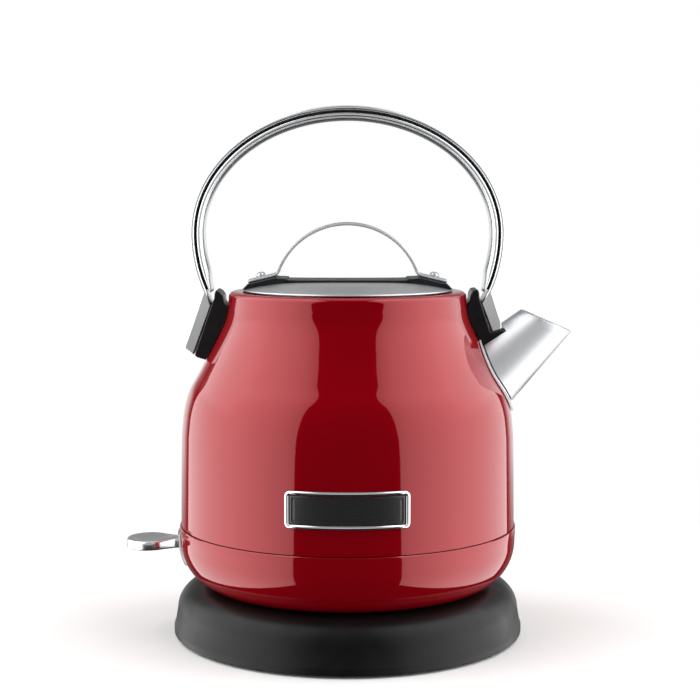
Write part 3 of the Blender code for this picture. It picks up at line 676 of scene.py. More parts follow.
def makeGland():
    outline = plateOutline(gland["middle"], *gland["half"], gland["corner"])
    low, high = gland["reach"]
    plug = extruded("cord_gland_black", outline, "Y", low * mm, high * mm, rubberBlack)
    bevelled(plug, gland["edge"], 3)
    bore = ellipse((0, gland["middle"] * mm), (gland["cord"] * mm, gland["cord"] * mm), 40)
    cutThrough(plug, bore, "Y", *gland["boreReach"])
    standFor(plug, "cord_gland")


post = {
    "tube": ((11.0, 7.0), (13.9, 7.0), (13.9, 30.3), (18.4, 30.3), (18.4, 31.0), (13.25, 33.4)),
    "lip": ((13.25, 38.4), (12.75, 38.9), (12.75, 40.0), (13.25, 40.5), (13.25, 42.6), (12.3, 43.5)),
    "grooves": ((8.8, 43.5), (8.8, 35.0), (4.9, 35.0), (4.9, 43.5), (2.9, 43.5), (2.9, 35.0), (0, 35.0)),
    "under": ((0, 33.0), (11.0, 33.0)),
}

# inner radius, outer radius, low and high of each contact sleeve, by its node
sleeves = {
    "contact_sleeve_outer": (7.9, 8.5, 35.3, 42.2), "contact_sleeve_inner": (5.2, 5.8, 35.3, 42.2),
    "earth_sleeve": (2.0, 2.6, 35.3, 42.2), "socket_ring_contact": (6.5, 7.1, 37.2, 44.5),
}


earthPin = ((0, 37.0), (0.8, 37.0), (1.3, 37.6), (1.3, 44.5), (0, 44.5))
socketWall = ((14.0, 34.6), (19.4, 32.1), (24.0, 32.1), (24.0, 46.4), (22.6, 48.0), (0, 48.0), (0, 44.8),
              (14.0, 44.8))


def makeConnector():
    column = (*post["tube"], *post["lip"], *post["grooves"], *post["under"])
    turnedPiece("connector_post_black", "connector_post", column, 0.35, plasticBlack, 96)
    for node, (inner, outer, low, high) in sleeves.items():
        sleeve = ((inner, low), (outer, low), (outer, high), (inner, high))
        turnedPiece(node + "_brass", node, sleeve, 0.2, brassDrawn, 64)
    turnedPiece("socket_earth_pin_brass", "socket_earth_pin", earthPin, 0.3, brassDrawn, 32, closed=False)
    turnedPiece("connector_socket_white", "connector_socket", socketWall, 0.3, nylonWhite, 96)


makeBaseShell()
makeGland()
makeConnector()


# Copies of a small master at the vertices of a points mesh, each tilted by the points' own "lean"


def makeCopiesTree():
    tree, given = newTree("copies", {"Master": "NodeSocketObject", "Material": "NodeSocketMaterial"})
    lean = addNode(tree, "GeometryNodeInputNamedAttribute", {"Name": "lean"}, data_type="FLOAT_VECTOR")
    source = addNode(tree, "GeometryNodeObjectInfo", {"Object": given["Master"]})
    spread = addNode(tree, "GeometryNodeInstanceOnPoints", {
        "Points": given["Geometry"], "Instance": source.outputs["Geometry"], "Rotation": lean})
    endTree(tree, spread, given["Material"])
    return tree


copiesTree = makeCopiesTree()


def copied(name, master, points, leans, material):
    mesh = bpy.data.meshes.new(name)
    mesh.from_pydata(points, [], [])
    lean = mesh.attributes.new("lean", "FLOAT_VECTOR", "POINT")
    for index, value in enumerate(leans):
        lean.data[index].vector = value
    piece = linked(name, mesh)
    runTree(piece, copiesTree, {"Master": master, "Material": material})
    bpy.data.objects.remove(master, do_unlink=True)
    return piece


def onCircle(radius, angles, height):
    turns = [math.radians(angle) for angle in angles]
    return [(radius * math.cos(turn) * mm, radius * math.sin(turn) * mm, height * mm) for turn in turns]


# pan head at the bottom with a cross recess, then the shank
screw = {
    "head": ((0, 0), (2.4, 0.05), (3.0, 0.5), (3.0, 0.9), (1.5, 1.3)), "shank": 1.5,
    "crossHalf": (0.32, 1.7), "crossCorner": 0.2, "crossReach": (-1, 0.65),
}

bottom = {
    "screwCircle": 51.5, "screwAngles": (30, 150, 270), "screwTurns": (0.3, 1.1, 2.0), "screwLength": 11.0,
    "screwSink": 0.25,
    "seal": ((79.6, 54.9), (81.8, 54.9), (81.8, 55.6), (79.6, 55.6)),
    # cover outline, heights from its own low face where the shell's floor is
    "plate": ((62.6, 0), (62.6, 3.4), (42.6, 3.4), (42.6, 7.9), (24.4, 7.9)),
    "recess": ((24.4, 5.9), (40.2, 5.9), (40.6, 5.5), (40.6, 0)),
    "bore": ((0, -2), (3.3, -2), (3.3, 1.6), (1.8, 1.6), (1.8, 4.4), (0, 4.4)),
}

# rubber pad with two grip rings pressed into its sole
footOutline = ((0, 0), (2.2, 0), (2.2, 0.25), (2.9, 0.25), (2.9, 0), (4.4, 0), (4.4, 0.25), (5.1, 0.25),
               (5.1, 0), (6.6, 0), (7.0, 0.4), (7.0, 1.7), (0, 1.7))


def numbered(name, count):
    return [f"{name}_{index + 1}" for index in range(count)]


def screwMaster(length):
    profile = scaled(*screw["head"], (screw["shank"], length), (0, length))
    master = turned("screw_master", profile, zincPlate, 32)
    for half in (screw["crossHalf"], screw["crossHalf"][::-1]):
        blade = roundedOutline((0, 0), half[0] * mm, half[1] * mm, screw["crossCorner"] * mm, 3)
        cutThrough(master, blade, "Z", *screw["crossReach"])
    return master


def makeFasteners():
    spots = onCircle(base["screwRadius"], base["screwAngles"], base["screwLow"])
    screws = copied("base_screws_zinc", screwMaster(base["screwLength"]), spots, [(0, 0, 0)] * 3, zincPlate)
    standFor(screws, *numbered("base_screw", 3))
    spots = onCircle(bottom["screwCircle"], bottom["screwAngles"], shell["floor"] + bottom["screwSink"])
    leans = [(0, 0, turn) for turn in bottom["screwTurns"]]
    screws = copied("cover_screws_zinc", screwMaster(bottom["screwLength"]), spots, leans, zincPlate)
    standFor(screws, *numbered("cover_screw", 3))


def makeFeet():
    master = turned("foot_master", softened(scaled(*footOutline), 0.12 * mm, 2, False), rubberBlack, 48)
    spots = onCircle(base["footRadius"], base["footAngles"], 0)
    feet = copied("base_feet_rubber", master, spots, [(0, 0, 0)] * 4, rubberBlack)
    standFor(feet, *numbered("base_foot", 4))


def makeUnderside():
    turnedPiece("seam_seal_black", "seam_seal", bottom["seal"], 0.15, rubberBlack, 192, 2)
    raised = [[(r, shell["floor"] + z) for r, z in bottom[part]] for part in ("plate", "recess", "bore")]
    plate, recess, bore = (scaled(*points) for points in raised)
    cover = turned("bottom_cover_black", softened(plate + recess, 0.4 * mm, 3), plasticBlack, 160)
    for x, y, _ in onCircle(bottom["screwCircle"], bottom["screwAngles"], 0):
        cut(cover, turned("screw_cutter", bore, None, 32, (x, y)))
    standFor(cover, "bottom_cover")


makeFasteners()
makeFeet()
makeUnderside()
print("base made")


# The hoop handle

hoop = {
    "halfWidth": 77.0, "centre": 199.0, "rise": 62.0, "drop": 74.0, "width": 19.0, "strap": 2.2,
    "coreIn": 2.45, "coreOut": 3.15, "coreSetBack": 1.6, "gripStart": 3.4, "gripEnd": 7.2, "gripTip": 4.6,
    "gripReach": -24, "gripTaper": 8, "coreReach": -22.5, "strapReach": -23, "edge": 1.0,
    # the strap's straight feet, outer and inner line
    "rightFoot": (((75.7, 152.6), (75.5, 154.8)), ((70.6, 150.9), (65.6, 165.6))),
    "leftFoot": (((-75.9, 154.6), (-80.4, 143.6)), ((-66.9, 164.4), (-75.4, 139.7))),
    # section of the grip bar: depth at the start of the bow, then its flat back, as shares of its size
    "bowStart": 0.3, "bowPower": 0.9,
    "back": ((0.16, -0.995), (0.06, -0.975), (0, -0.94), (0, 0.94), (0.06, 0.975), (0.16, 0.995)),
}


def hoopLine(depth, low, steps):
    line = []
    for step in range(steps + 1):
        angle = math.radians(low + (180 - 2 * low) * step / steps)
        rise = hoop["rise"] if math.sin(angle) > 0 else hoop["drop"]
        line.append(((hoop["halfWidth"] - depth) * mm * math.cos(angle),
                     (hoop["centre"] + (rise - depth) * math.sin(angle)) * mm))
    return line


def makeHandle():
    half = hoop["width"] / 2 * mm
    steps = 120
    lines = []
    for right, left, depth in zip(hoop["rightFoot"], hoop["leftFoot"], (0, hoop["strap"])):
        lines.append(scaled(*right) + hoopLine(depth, hoop["strapReach"], steps) + scaled(*left))
    strap = bentBar("handle_frame_chrome", *lines, half, hoop["edge"] * mm, chromeSatin)
    bevelled(strap, 0.3, 3, 50)
    standFor(strap, "handle_frame", sharp=50, flatFaces=True)
    lines = [hoopLine(hoop[key], hoop["coreReach"], steps) for key in ("coreIn", "coreOut")]
    core = bentBar("handle_core_black", *lines, half - hoop["coreSetBack"] * mm, 0.1 * mm, nylonBlack)
    standFor(core, "handle_core")
    bow = []
    for step in range(25):
        angle = math.pi * step / 24
        swell = (1 - hoop["bowStart"]) * math.sin(angle) ** hoop["bowPower"]
        bow.append((hoop["bowStart"] + swell, math.cos(angle)))
    bow += hoop["back"]
    outer, inner = (hoopLine(hoop[key], hoop["gripReach"], steps) for key in ("gripStart", "gripEnd"))
    turn = (180 - 2 * hoop["gripReach"]) / steps
    thinning = (hoop["gripEnd"] - hoop["gripTip"]) / (hoop["gripEnd"] - hoop["gripStart"])
    for step in range(int(hoop["gripTaper"] / turn) + 1):
        # both ends thin down towards the mounts
        share = (1 - step * turn / hoop["gripTaper"]) * thinning
        for at in (step, -1 - step):
            inner[at] = tuple(Vector(inner[at]).lerp(Vector(outer[at]), share))
    grip = bentBar("handle_grip_chrome", outer, inner, half, 0, chromeSatin, bow)
    bevelled(grip, 0.25, 2, 55)
    standFor(grip, "handle_grip", sharp=50)


# the two mounts of the hoop, outline from the side
spacers = {
    "left": ((-58.0, 162.0), (-60.5, 165.5), (-60.9, 168.6), (-62.2, 170.4), (-64.4, 171.6), (-65.0, 169.8),
             (-65.2, 167.5), (-66.3, 164.9), (-75.0, 139.6), (-74.0, 138.6), (-69.5, 137.2), (-60.0, 140.0)),
    "right": ((58.0, 162.5), (59.9, 166.5), (60.2, 169.2), (61.2, 171.4), (63.8, 171.9), (64.4, 170.0),
              (64.6, 167.5), (65.2, 165.8), (70.2, 150.6), (76.6, 152.0), (78.2, 149.2), (68.2, 142.6),
              (60.0, 146.0)),
}
spacerSize = {"half": 10.2, "corner": 1.4, "edge": 0.7}


def makeSpacers():
    half = spacerSize["half"] * mm
    for side, points in spacers.items():
        outline = softened(scaled(*points), spacerSize["corner"] * mm, 5)
        spacer = extruded(f"spacer_{side}_black", outline, "Y", -half, half, nylonBlack)
        bevelled(spacer, spacerSize["edge"], 3)
        cut(spacer, bodySolid(gap))
        standFor(spacer, f"spacer_{side}", sharp=45, flatFaces=True)


makeHandle()
makeSpacers()
print("handle made")


# The spout

spoutSize = {
    "mouthLow": (110.8, 150.6), "mouthHigh": (86.0, 161.4),
    "rootLow": (80.9, 115.2), "rootHigh": (66.0, 147.4),
    "rootHalf": 19.0, "mouthHalf": 14.0, "wall": 1.0, "sides": 96, "gapToWall": 1.6,
    # share of the length where the tube starts inside the body, and where the rolled mouth begins
    "start": -0.18, "roll": 0.99,
    # room for the right mount
    "notch": ((56.0, 172.0), (76.3, 168.0), (76.3, 153.0), (77.1, 152.5), (79.0, 149.0), (68.0, 141.6),
              (56.0, 141.6)), "notchHalf": 10.6,
}
# the collar lies on the wall between two ovals about the spout's root: half length, half width
collarSet = {"rise": 1.2, "reach": 14,
             "root": (73.5, 0, 130.6), "along": (-14.9, 0, 32.2), "out": (32.2, 0, 14.9),
             "ovals": (("INTERSECT", 21.2, 22.0), ("DIFFERENCE", 15.4, 16.6))}


def spoutRing(share, inset, sides):
    # share 0 is the root and 1 the mouth; below 0 runs on into the body
    low = Vector(spoutSize["rootLow"]).lerp(Vector(spoutSize["mouthLow"]), share)
    high = Vector(spoutSize["rootHigh"]).lerp(Vector(spoutSize["mouthHigh"]), share)
    half = spoutSize["rootHalf"] + (spoutSize["mouthHalf"] - spoutSize["rootHalf"]) * share - inset
    middle, along = (low + high) / 2, (high - low).normalized()
    reach = (high - low).length / 2 - inset
    ring = []
    for u, v in ellipse((0, 0), (reach, half), sides):
        ring.append(((middle.x + along.x * u) * mm, v * mm, (middle.y + along.y * u) * mm))
    return ring


def cutNotch(piece):
    half = spoutSize["notchHalf"]
    cutThrough(piece, scaled(*spoutSize["notch"]), "Y", -half, half)


def makeSpout():
    wall, sides, start, roll = (spoutSize[key] for key in ("wall", "sides", "start", "roll"))
    sections = [spoutRing(start + (roll - start) * step / 12, 0, sides) for step in range(13)]
    for angle in range(0, 181, 30):
        lift, inset = math.sin(math.radians(angle)), (1 - math.cos(math.radians(angle))) / 2
        sections.append(spoutRing(roll + (1 - roll) * lift, wall * inset, sides))
    sections += [spoutRing(roll - (roll - start) * step / 12, wall, sides) for step in range(13)]
    spout = lofted("spout_steel", sections, steelAcross, True)
    cut(spout, bodySolid(spoutSize["gapToWall"] * mm))
    cutNotch(spout)
    standFor(spout, "spout")


def makeCollar():
    collar = wallSkin("spout_collar_chrome", bodyLine()[2:-16], gap, collarSet["rise"] * mm, chromePlate)
    root = Vector(collarSet["root"]) * mm
    along, out = (Vector(collarSet[key]).normalized() for key in ("along", "out"))
    for operation, halfLength, halfWidth in collarSet["ovals"]:
        ends = []
        for reach in (-collarSet["reach"] * mm, collarSet["reach"] * mm):
            oval = ellipse((0, 0), (halfLength * mm, halfWidth * mm), 96)
            ends.append([root + out * reach + along * u + Vector((0, v, 0)) for u, v in oval])
        cut(collar, lofted("collar_cutter", ends, None), operation)
    cutNotch(collar)
    bevelled(collar, 0.25, 2, 50)
    standFor(collar, "spout_collar")


# The strainer behind the spout: round holes in rows, cut by copies of one rod

strainer = {"middle": 131.0, "halfWidth": 16.0, "halfHeight": 15.0, "band": (108, 156), "gapToWall": 1.1,
            "thick": 0.8, "reach": (55, 95), "hole": 2.6, "pitch": 8.0, "rodMiddle": 75.0, "rodLength": 60.0}


def makeStrainerTree():
    tree, given = newTree("strainer", {**dict.fromkeys(("Hole", "Pitch", "Height"), "NodeSocketFloat"),
                                       "Material": "NodeSocketMaterial"})
    side = addNode(tree, "ShaderNodeMath", {0: given["Pitch"], 1: 2.0}, operation="MULTIPLY")
    spots = addNode(tree, "GeometryNodeMeshGrid", {
        "Size X": side, "Size Y": side, "Vertices X": 3, "Vertices Y": 3})
    rod = addNode(tree, "GeometryNodeMeshCylinder", {
        "Vertices": 24, "Radius": given["Hole"], "Depth": strainer["rodLength"] * mm})
    rods = addNode(tree, "GeometryNodeInstanceOnPoints", {"Points": spots, "Instance": rod})
    lift = addNode(tree, "ShaderNodeCombineXYZ", {"X": strainer["rodMiddle"] * mm, "Z": given["Height"]})
    laid = addNode(tree, "GeometryNodeTransform", {
        "Geometry": rods, "Translation": lift, "Rotation": (0, math.pi / 2, 0)})
    bored = addNode(tree, "GeometryNodeMeshBoolean", {
        "Mesh 1": given["Geometry"], "Mesh 2": laid}, operation="DIFFERENCE")
    endTree(tree, bored, given["Material"])
    return tree


def makeStrainer():
    low, high = strainer["band"]
    line = [pair for pair in bodyLine() if low * mm < pair[1] < high * mm]
    inner = -(shell["steel"] + strainer["gapToWall"]) * mm
    plate = wallSkin("spout_strainer_steel", line, inner, inner + strainer["thick"] * mm, steelAcross)
    middle = strainer["middle"] * mm
    oval = ellipse((0, middle), (strainer["halfWidth"] * mm, strainer["halfHeight"] * mm), 48)
    cutThrough(plate, oval, "X", *strainer["reach"], "INTERSECT")
    runTree(plate, makeStrainerTree(), {
        "Hole": strainer["hole"] * mm, "Pitch": strainer["pitch"] * mm, "Height": middle,
        "Material": steelAcross})
    standFor(plate, "spout_filter")


makeSpout()
makeCollar()
makeStrainer()
print("spout made")


# The badge, wrapped on the body's wall

badge = {
    "middle": 76.5, "halfWidth": 28.6, "halfHeight": 8.7, "corner": 2.6, "leastCorner": 0.6, "bed": 0.3,
    # rail section, a low rounded bead: inset from the outer edge, height above the wall
    "bead": ((0, 0.3), (0, 1.0), (0.12, 1.35), (0.4, 1.6), (0.8, 1.7), (1.2, 1.68), (1.6, 1.5), (1.9, 1.2),
             (2.0, 0.9), (2.0, 0.3)),
    # a side longer than the first number is divided into so many pieces
    "divisions": ((20, 24), (5, 6)),
    "plateHalf": (26.3, 6.4), "plateRise": 1.1, "plateGrid": (105, 27),
    # the plate's soft rim, and the fine engraved border line: depth, width or reach from the edge
    "rim": (0.25, 0.5), "groove": (0.15, 1.3, 1.7),
}


def wrapped(x, z, height):
    radius = lineRadius(bodyLine(4), z) + height
    return (x, -math.sqrt(radius * radius - x * x), z)


def divided(outline):
    # the long sides get enough points to follow the round wall
    dense = []
    for index, start in enumerate(outline):
        stop = outline[(index + 1) % len(outline)]
        length = math.dist(start, stop)
        pieces = next((count for least, count in badge["divisions"] if length > least * mm), 1)
        for step in range(pieces):
            t = step / pieces
            dense.append((start[0] + (stop[0] - start[0]) * t, start[1] + (stop[1] - start[1]) * t))
    return dense


def makeBadgeRail():
    sections = []
    for inset, height in badge["bead"]:
        corner = max(badge["corner"] - inset, badge["leastCorner"])
        halfSizes = (badge["halfWidth"] - inset, badge["halfHeight"] - inset)
        outline = plateOutline(badge["middle"], *halfSizes, corner)
        sections.append([wrapped(x, z, height * mm) for x, z in divided(outline)])
    standFor(lofted("badge_frame_chrome", sections, chromePlate, True), "badge_frame", sharp=50)


def makeBadgePlate():
    # a grid over the rectangle on top, another on the wall, and a strip round the two
    bm = bmesh.new()
    columns, rows = badge["plateGrid"]
    halfWidth, halfHeight = (size * mm for size in badge["plateHalf"])
    (rimDepth, rimWidth), (grooveDepth, *groove) = badge["rim"], badge["groove"]
    points = {}
    for top in (True, False):
        for i in range(columns):
            for j in range(rows):
                x = -halfWidth + 2 * halfWidth * i / (columns - 1)
                z = -halfHeight + 2 * halfHeight * j / (rows - 1)
                edge = min(halfWidth - abs(x), halfHeight - abs(z)) / mm
                height = badge["bed"]
                if top:
                    height = badge["plateRise"] - rimDepth * max(0, 1 - edge / rimWidth) ** 2
                    height -= grooveDepth * (groove[0] < edge < groove[1])
                points[top, i, j] = bm.verts.new(wrapped(x, badge["middle"] * mm + z, height * mm))

    def face(*corners):
        bm.faces.new([points[corner] for corner in corners])

    for i in range(columns - 1):
        for j in range(rows - 1):
            for top in (True, False):
                face((top, i, j), (top, i + 1, j), (top, i + 1, j + 1), (top, i, j + 1))
    for i in range(columns - 1):
        for j in (0, rows - 1):
            face((True, i, j), (True, i + 1, j), (False, i + 1, j), (False, i, j))
    for j in range(rows - 1):
        for i in (0, columns - 1):
            face((True, i, j), (True, i, j + 1), (False, i, j + 1), (False, i, j))
    standFor(meshPiece("badge_plate_black", bm, badgeBlack), "badge_plate")


# The switch lever and its surround

lever = {
    "centre": -99.4, "length": 11.4, "halfWidth": 12.5, "low": 42.3, "high": 47.0, "stemHalf": 5.0,
    "stemStart": -86.0, "stemEnd": -60.6, "narrowFrom": -88.0, "plan": (48, 312), "crotch": 1.5,
    "edge": 1.4, "underEdge": 0.9, "dish": 8.4, "dishDepth": 0.95, "dishRound": 1.1,
}
# the surround: middle height, half sizes and corner of its outside and of its window
surround = {"outside": (44.0, 15.0, 9.2, 4.0), "window": (44.5, 6.2, 5.2, 1.8),
            "reach": (-90, -60), "depth": 1.1}


def makeSurround():
    skin = wallSkin("switch_escutcheon_chrome", lowerLine()[3:28], -surround["depth"] * mm, -gap, chromePlate)
    for part, operation in (("outside", "INTERSECT"), ("window", "DIFFERENCE")):
        cutThrough(skin, plateOutline(*surround[part]), "X", *surround["reach"], operation)
    bevelled(skin, 0.2, 2, 50)
    standFor(skin, "switch_escutcheon", flatFaces=True)


def quarterTurns(steps):
    return [math.radians(90 * step / steps) for step in range(steps + 1)]


def makeLever():
    edge, low, high, dish = (lever[key] for key in ("edge", "low", "high", "dish"))
    middle, half = lever["centre"] * mm, lever["stemHalf"]
    paddle = arcLine((middle, 0), (lever["length"] * mm, lever["halfWidth"] * mm), *lever["plan"], 64)
    start, end = lever["stemStart"], lever["stemEnd"]
    stem = scaled((start, -half), (end, -half), (end, half), (start, half))
    plan = softened(paddle + stem, lever["crotch"] * mm, 6)
    # height and inset of each layer, from the low edge to the high one
    levels = [(low + lever["underEdge"] * (1 - math.sin(a)), edge * (1 - math.cos(a)))
              for a in reversed(quarterTurns(5))]
    levels += [(high - edge * (1 - math.sin(a)), edge * (1 - math.cos(a))) for a in quarterTurns(7)]
    sections = []
    for z, inset in levels:
        narrowed = 1 - inset / lever["halfWidth"]
        ring = []
        for x, y in plan:
            if x < lever["narrowFrom"] * mm:
                x = middle + (x - middle) * narrowed
            ring.append((x, y * narrowed, z * mm))
        sections.append(ring)
    piece = lofted("switch_lever_chrome", sections, chromeSatin)
    # the thumb's dish is part of a ball
    ball, floor = dish ** 2 / 2 / lever["dishRound"], high - lever["dishDepth"]
    bowl = [(ball * math.sin(a / 100), floor + ball * (1 - math.cos(a / 100))) for a in range(2, 30, 2)]
    bowl = [(0, floor), *(pair for pair in bowl if pair[0] < dish + 1)]
    bowl += [(bowl[-1][0], high + 4), (0, high + 4)]
    cut(piece, turned("dish_cutter", scaled(*bowl), None, 64, (middle, 0)))
    standFor(piece, "switch_lever", sharp=30)


makeBadgeRail()
makeBadgePlate()
makeSurround()
makeLever()
print("badge and switch made")


# The lid

lid = {
    "dome": ((0.0, 175.4), (18, 175.36), (32, 175.15), (40, 174.35), (48, 172.9)),
    "edge": ((51.2, 172.05), (51.9, 171.55), (51.8, 171.1), (51.2, 170.95), (50.4, 171.1)),
    "steel": 1.0,
    "cup": ((0, 161.0), (44.6, 161.0), (45.3, 161.7), (45.3, 172.0), (44.0, 172.0), (44.0, 162.4),
            (0, 162.4)),
    "ring": ((45.6, 164.6), (46.6, 165.4), (46.6, 166.4), (45.6, 167.4)),
    # the saddle's upper and lower line from its right end to the middle, and the cutter under it
    "saddleTop": ((50.6, 172.7), (48.6, 174.7), (46.4, 175.2), (36.7, 177.45), (33.6, 177.4), (29.5, 177.2),
                  (25, 176.5)),
    "saddleLow": ((50.6, 171.4), (48.6, 171.6), (46.4, 172.0), (36.7, 173.4), (33.6, 173.7), (29.5, 174.0),
                  (25, 174.2)),
    "saddleHalf": 13.0, "bedEnd": ((54, 171.6), (54, 165), (0, 165)),
    "strapHalf": 7.5, "strap": 1.4, "loopTop": 204.4, "loopRadius": 37.4, "loopFrom": 20,
    "strapFeet": (((49.0, 176.1), (38.0, 178.75)), ((48.7, 174.95), (37.0, 177.7))),
    # low domed head over a short shank, leaning with the strap's foot
    "rivet": ((0, -1.0), (1.4, -1.0), (1.4, 1.1), (2.35, 1.1), (2.4, 1.5), (2.25, 2.2), (1.7, 2.75),
              (0.9, 3.02), (0, 3.1)),
    "rivetX": 42.6, "rivetZ": 176.9, "rivetSlope": math.atan2(2.65, 11.0),
}


def makeLidPlate():
    dome = smoothCurve(scaled(*lid["dome"], *lid["edge"]), 6)
    under = offsetLine(smoothCurve(scaled(*lid["dome"]), 6), lid["steel"] * mm)[::-1]
    under[-1] = (0, (lid["dome"][0][1] - lid["steel"]) * mm)
    standFor(turned("lid_plate_steel", dome + under, steelRound, 192), "lid_plate")
    turnedPiece("lid_inner_cap_steel", "lid_inner_cap", lid["cup"], 0.6, steelRound, 128, 4)
    turnedPiece("lid_gasket_black", "lid_gasket", lid["ring"], 0.4, rubberBlack, 128, 4)


def makeSaddle():
    lines = [smoothCurve(mirrored(scaled(*lid[key])), 5) for key in ("saddleTop", "saddleLow")]
    saddle = bentBar("lid_saddle_black", *lines, lid["saddleHalf"] * mm, 0.7 * mm, nylonBlack)
    dome = smoothCurve(scaled(*lid["dome"], *lid["edge"][:2]), 6)
    bed = [(0, lid["dome"][0][1] * mm + gap), *offsetLine(dome[1:], -gap), *scaled(*lid["bedEnd"])]
    cut(saddle, turned("bed_cutter", bed, None, 128), solver="FAST")
    standFor(saddle, "lid_saddle", sharp=45, flatFaces=True)


def makeStrap():
    centre = (0, (lid["loopTop"] - lid["loopRadius"]) * mm)
    arches = []
    for depth, foot in zip((0, lid["strap"]), lid["strapFeet"]):
        radius = (lid["loopRadius"] - depth) * mm
        arch = arcLine(centre, (radius, radius), lid["loopFrom"], 180 - lid["loopFrom"], 72)
        foot = scaled(*foot)
        arches.append(smoothCurve(foot + arch + mirrored(foot)[len(foot):], 3))
    strap = bentBar("lid_strap_steel", *arches, lid["strapHalf"] * mm, 0.4 * mm, steelAlong)
    bevelled(strap, 0.3, 2, 50)
    standFor(strap, "lid_strap", sharp=45)


def makeRivets():
    for side, node in ((-1, "lid_rivet_left"), (1, "lid_rivet_right")):
        master = turned("rivet_master", scaled(*lid["rivet"]), zincPlate, 40)
        spot = (side * lid["rivetX"] * mm, 0, lid["rivetZ"] * mm)
        rivet = copied(node + "_steel", master, [spot], [(0, side * lid["rivetSlope"], 0)], zincPlate)
        standFor(rivet, node)


makeLidPlate()
makeSaddle()
makeStrap()
makeRivets()
print("lid made")


# CAD pieces that keep their own shape get a finished surface

keptPieces = {
    plasticBlack: ("base_floor",),
    nylonWhite: ("terminal_block", "control_housing", "switch_bracket", "trip_arm"),
    steelRound: ("element_plate",),
    steelAcross: ("steam_tube",),
    aluminiumCast: ("heating_element",),
    zincPlate: ("handle_stud_left", "handle_stud_right", "handle_nut_left", "handle_nut_right",
                "lever_pin", "trip_pin"),
    brassDrawn: ("bimetal_disc",),
}
for material, names in keptPieces.items():
    for name in names:
        for socket in frame["nodes"][name].material_slots:
            socket.material = material
print("kept pieces finished")


# Floor, lamps and camera

studio = {
    "floorRadius": 0.75, "floorFade": (0.16, 0.46), "floorColours": ("#f2f2f1", "#f6f6f5"), "floorDrop": 0.02,
    # two tall softboxes beside the kettle, from behind it to a little in front
    "sideDistance": 0.62, "sideFrom": -1.05, "sideTo": 0.48, "sideHeight": 3.0, "sideMiddle": 0.9,
    "sidePower": 38.0, "sideLean": 9.0, "sideShares": ((0.0, 0.45), (0.6, 1.0), (0.72, 0.95), (1.0, 0.7)),
    # place, target, size and power
    "top": ((0, 0.25, 1.5), (0, 0, 0.1), (1.4, 1.4), 4.0),
    "card": ((0, -1.3, 0.6), (0, 0, 0.15), (1.7, 1.5), 4.2),
    # brightness of the room in reflections: direction, where it changes, and the two levels.
    # A name stands for an earlier row. The ceiling and the upper back wall are a soft grey.
    "room": (("wall", "Z", 0.0, 0.1, 1.0, 0.32), ("under", "Z", -0.24, -0.12, 0.14, "wall"),
             ("depth", "Y", 0.78, 0.9, 0.02, "under"),
             ("upper", "Z", 0.12, 0.3, 0.0, 0.32), ("rear", "Y", -0.15, 0.1, 0.0, 1.0)),
}
# bright metal that the white card in front fills; the red and the black pieces don't see it
cardPieces = (
    "handle_frame_chrome", "handle_grip_chrome", "spout_steel", "spout_collar_chrome", "lid_strap_steel",
    "lid_plate_steel", "lid_rivet_left_steel", "lid_rivet_right_steel", "badge_frame_chrome",
    "switch_lever_chrome", "switch_escutcheon_chrome",
)
cameraSet = {"distance": 0.810, "side": 0.0012, "height": 0.222, "pitch": 5.7, "lens": 84.34, "sensor": 36.0}


def makeFloor():
    bm = bmesh.new()
    bmesh.ops.create_circle(bm, cap_ends=True, segments=96, radius=studio["floorRadius"])
    material, tree, shader, place = newMaterial("Backdrop_paper_white", {"Roughness": 0.9})
    mottle(tree, shader, place, {"colours": studio["floorColours"], "patch": 400})
    # the paper fades out into the white surround, so that it has no edge
    reach = addNode(tree, "ShaderNodeVectorMath", {0: place}, operation="LENGTH")
    near, far = studio["floorFade"]
    fade = addNode(tree, "ShaderNodeMapRange", {
        "Value": reach.outputs["Value"], "From Min": near, "From Max": far, "To Min": 1.0, "To Max": 0.0},
        interpolation_type="SMOOTHSTEP")
    tree.links.new(fade.outputs["Result"], shader.inputs["Alpha"])
    floor = meshPiece("floor", bm, material)
    for corner in floor.data.vertices:
        corner.co.z -= studio["floorDrop"] * mm
    floor.visible_glossy = floor.visible_diffuse = floor.visible_shadow = False


def makeLamp(name, spot, target, size, power):
    lamp = bpy.data.lights.new(name, "AREA")
    lamp.shape = "RECTANGLE"
    lamp.size, lamp.size_y = size
    lamp.energy = power
    holder = linked(name, lamp)
    holder.location = spot
    holder.rotation_euler = (Vector(target) - Vector(spot)).to_track_quat("-Z", "Y").to_euler()
    return holder


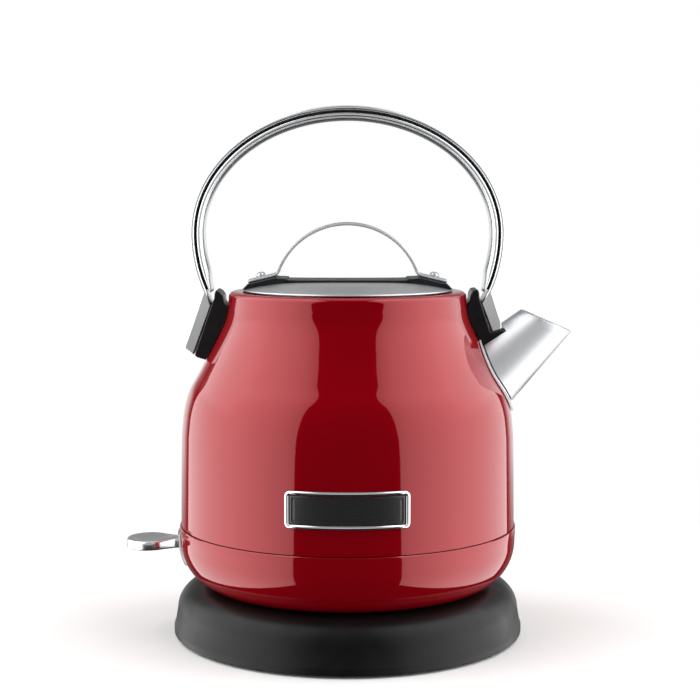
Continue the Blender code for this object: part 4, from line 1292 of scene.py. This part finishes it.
def makeLamps():
    start, end, level = studio["sideFrom"], studio["sideTo"], studio["sideMiddle"]
    middle = (start + end) / 2
    for side, name in ((-1, "softbox_left"), (1, "softbox_right")):
        lamp = makeLamp(name, (side * studio["sideDistance"], middle, level), (0, middle, level),
                        (end - start, studio["sideHeight"]), studio["sidePower"])
        # the box leans forward at its top, and its cloth is dimmer towards the front edge
        lamp.rotation_euler.rotate_axis("Z", side * math.radians(studio["sideLean"]))
        lamp.data.use_nodes = True
        tree = lamp.data.node_tree
        spot = addNode(tree, "ShaderNodeNewGeometry")
        split = addNode(tree, "ShaderNodeSeparateXYZ", {"Vector": spot.outputs["Position"]})
        along = addNode(tree, "ShaderNodeMapRange", {
            "Value": split.outputs["Y"], "From Min": start, "From Max": end})
        share = addNode(tree, "ShaderNodeValToRGB", {"Fac": along})
        stops = share.color_ramp.elements
        while len(stops) < len(studio["sideShares"]):
            stops.new(0.5)
        for stop, (at, strength) in zip(stops, studio["sideShares"]):
            stop.position, stop.color = at, (strength, strength, strength, 1)
        tree.links.new(share.outputs["Color"], tree.nodes["Emission"].inputs["Strength"])
    makeLamp("softbox_top", *studio["top"])
    seeing = bpy.data.collections.new("pieces_that_see_the_card")
    for name in cardPieces:
        seeing.objects.link(bpy.data.objects[name])
    makeLamp("card_front", *studio["card"]).light_linking.receiver_collection = seeing


def makeWorld():
    # the eye sees plain white; reflections see a bright back wall and a dark room behind the camera
    world = bpy.data.worlds.new("studio")
    bpy.context.scene.world = world
    world.use_nodes = True
    tree = world.node_tree
    tree.nodes.clear()
    place = addNode(tree, "ShaderNodeTexCoord")
    split = addNode(tree, "ShaderNodeSeparateXYZ", {"Vector": place.outputs["Generated"]})
    levels = {}
    for name, axis, start, end, first, last in studio["room"]:
        levels[name] = addNode(tree, "ShaderNodeMapRange", {
            "Value": split.outputs[axis], "From Min": start, "From Max": end, "To Min": first,
            "To Max": levels.get(last, last)}, interpolation_type="SMOOTHSTEP")
    ceiling = addNode(tree, "ShaderNodeMath", {0: levels["upper"], 1: levels["rear"]}, operation="MULTIPLY")
    bright = addNode(tree, "ShaderNodeMath", {0: levels["depth"], 1: ceiling}, operation="MAXIMUM")
    room = addNode(tree, "ShaderNodeBackground", {"Color": (1, 1, 1, 1), "Strength": bright})
    plain = addNode(tree, "ShaderNodeBackground", {"Color": (1, 1, 1, 1), "Strength": 1.0})
    path = addNode(tree, "ShaderNodeLightPath")
    mixed = addNode(tree, "ShaderNodeMixShader", {0: path.outputs["Is Camera Ray"], 1: room, 2: plain})
    addNode(tree, "ShaderNodeOutputWorld", {"Surface": mixed})


def makeCamera():
    camera = bpy.data.cameras.new("camera")
    camera.sensor_width, camera.lens = cameraSet["sensor"], cameraSet["lens"]
    camera.clip_start, camera.clip_end = 0.01, 20
    holder = linked("camera", camera)
    holder.location = (cameraSet["side"], -cameraSet["distance"], cameraSet["height"])
    holder.rotation_euler = (math.radians(90 - cameraSet["pitch"]), 0, 0)
    bpy.context.scene.camera = holder


makeFloor()
makeLamps()
makeWorld()
makeCamera()
bpy.context.scene.view_settings.view_transform = "Standard"
print("studio made")

bpy.context.view_layer.update()
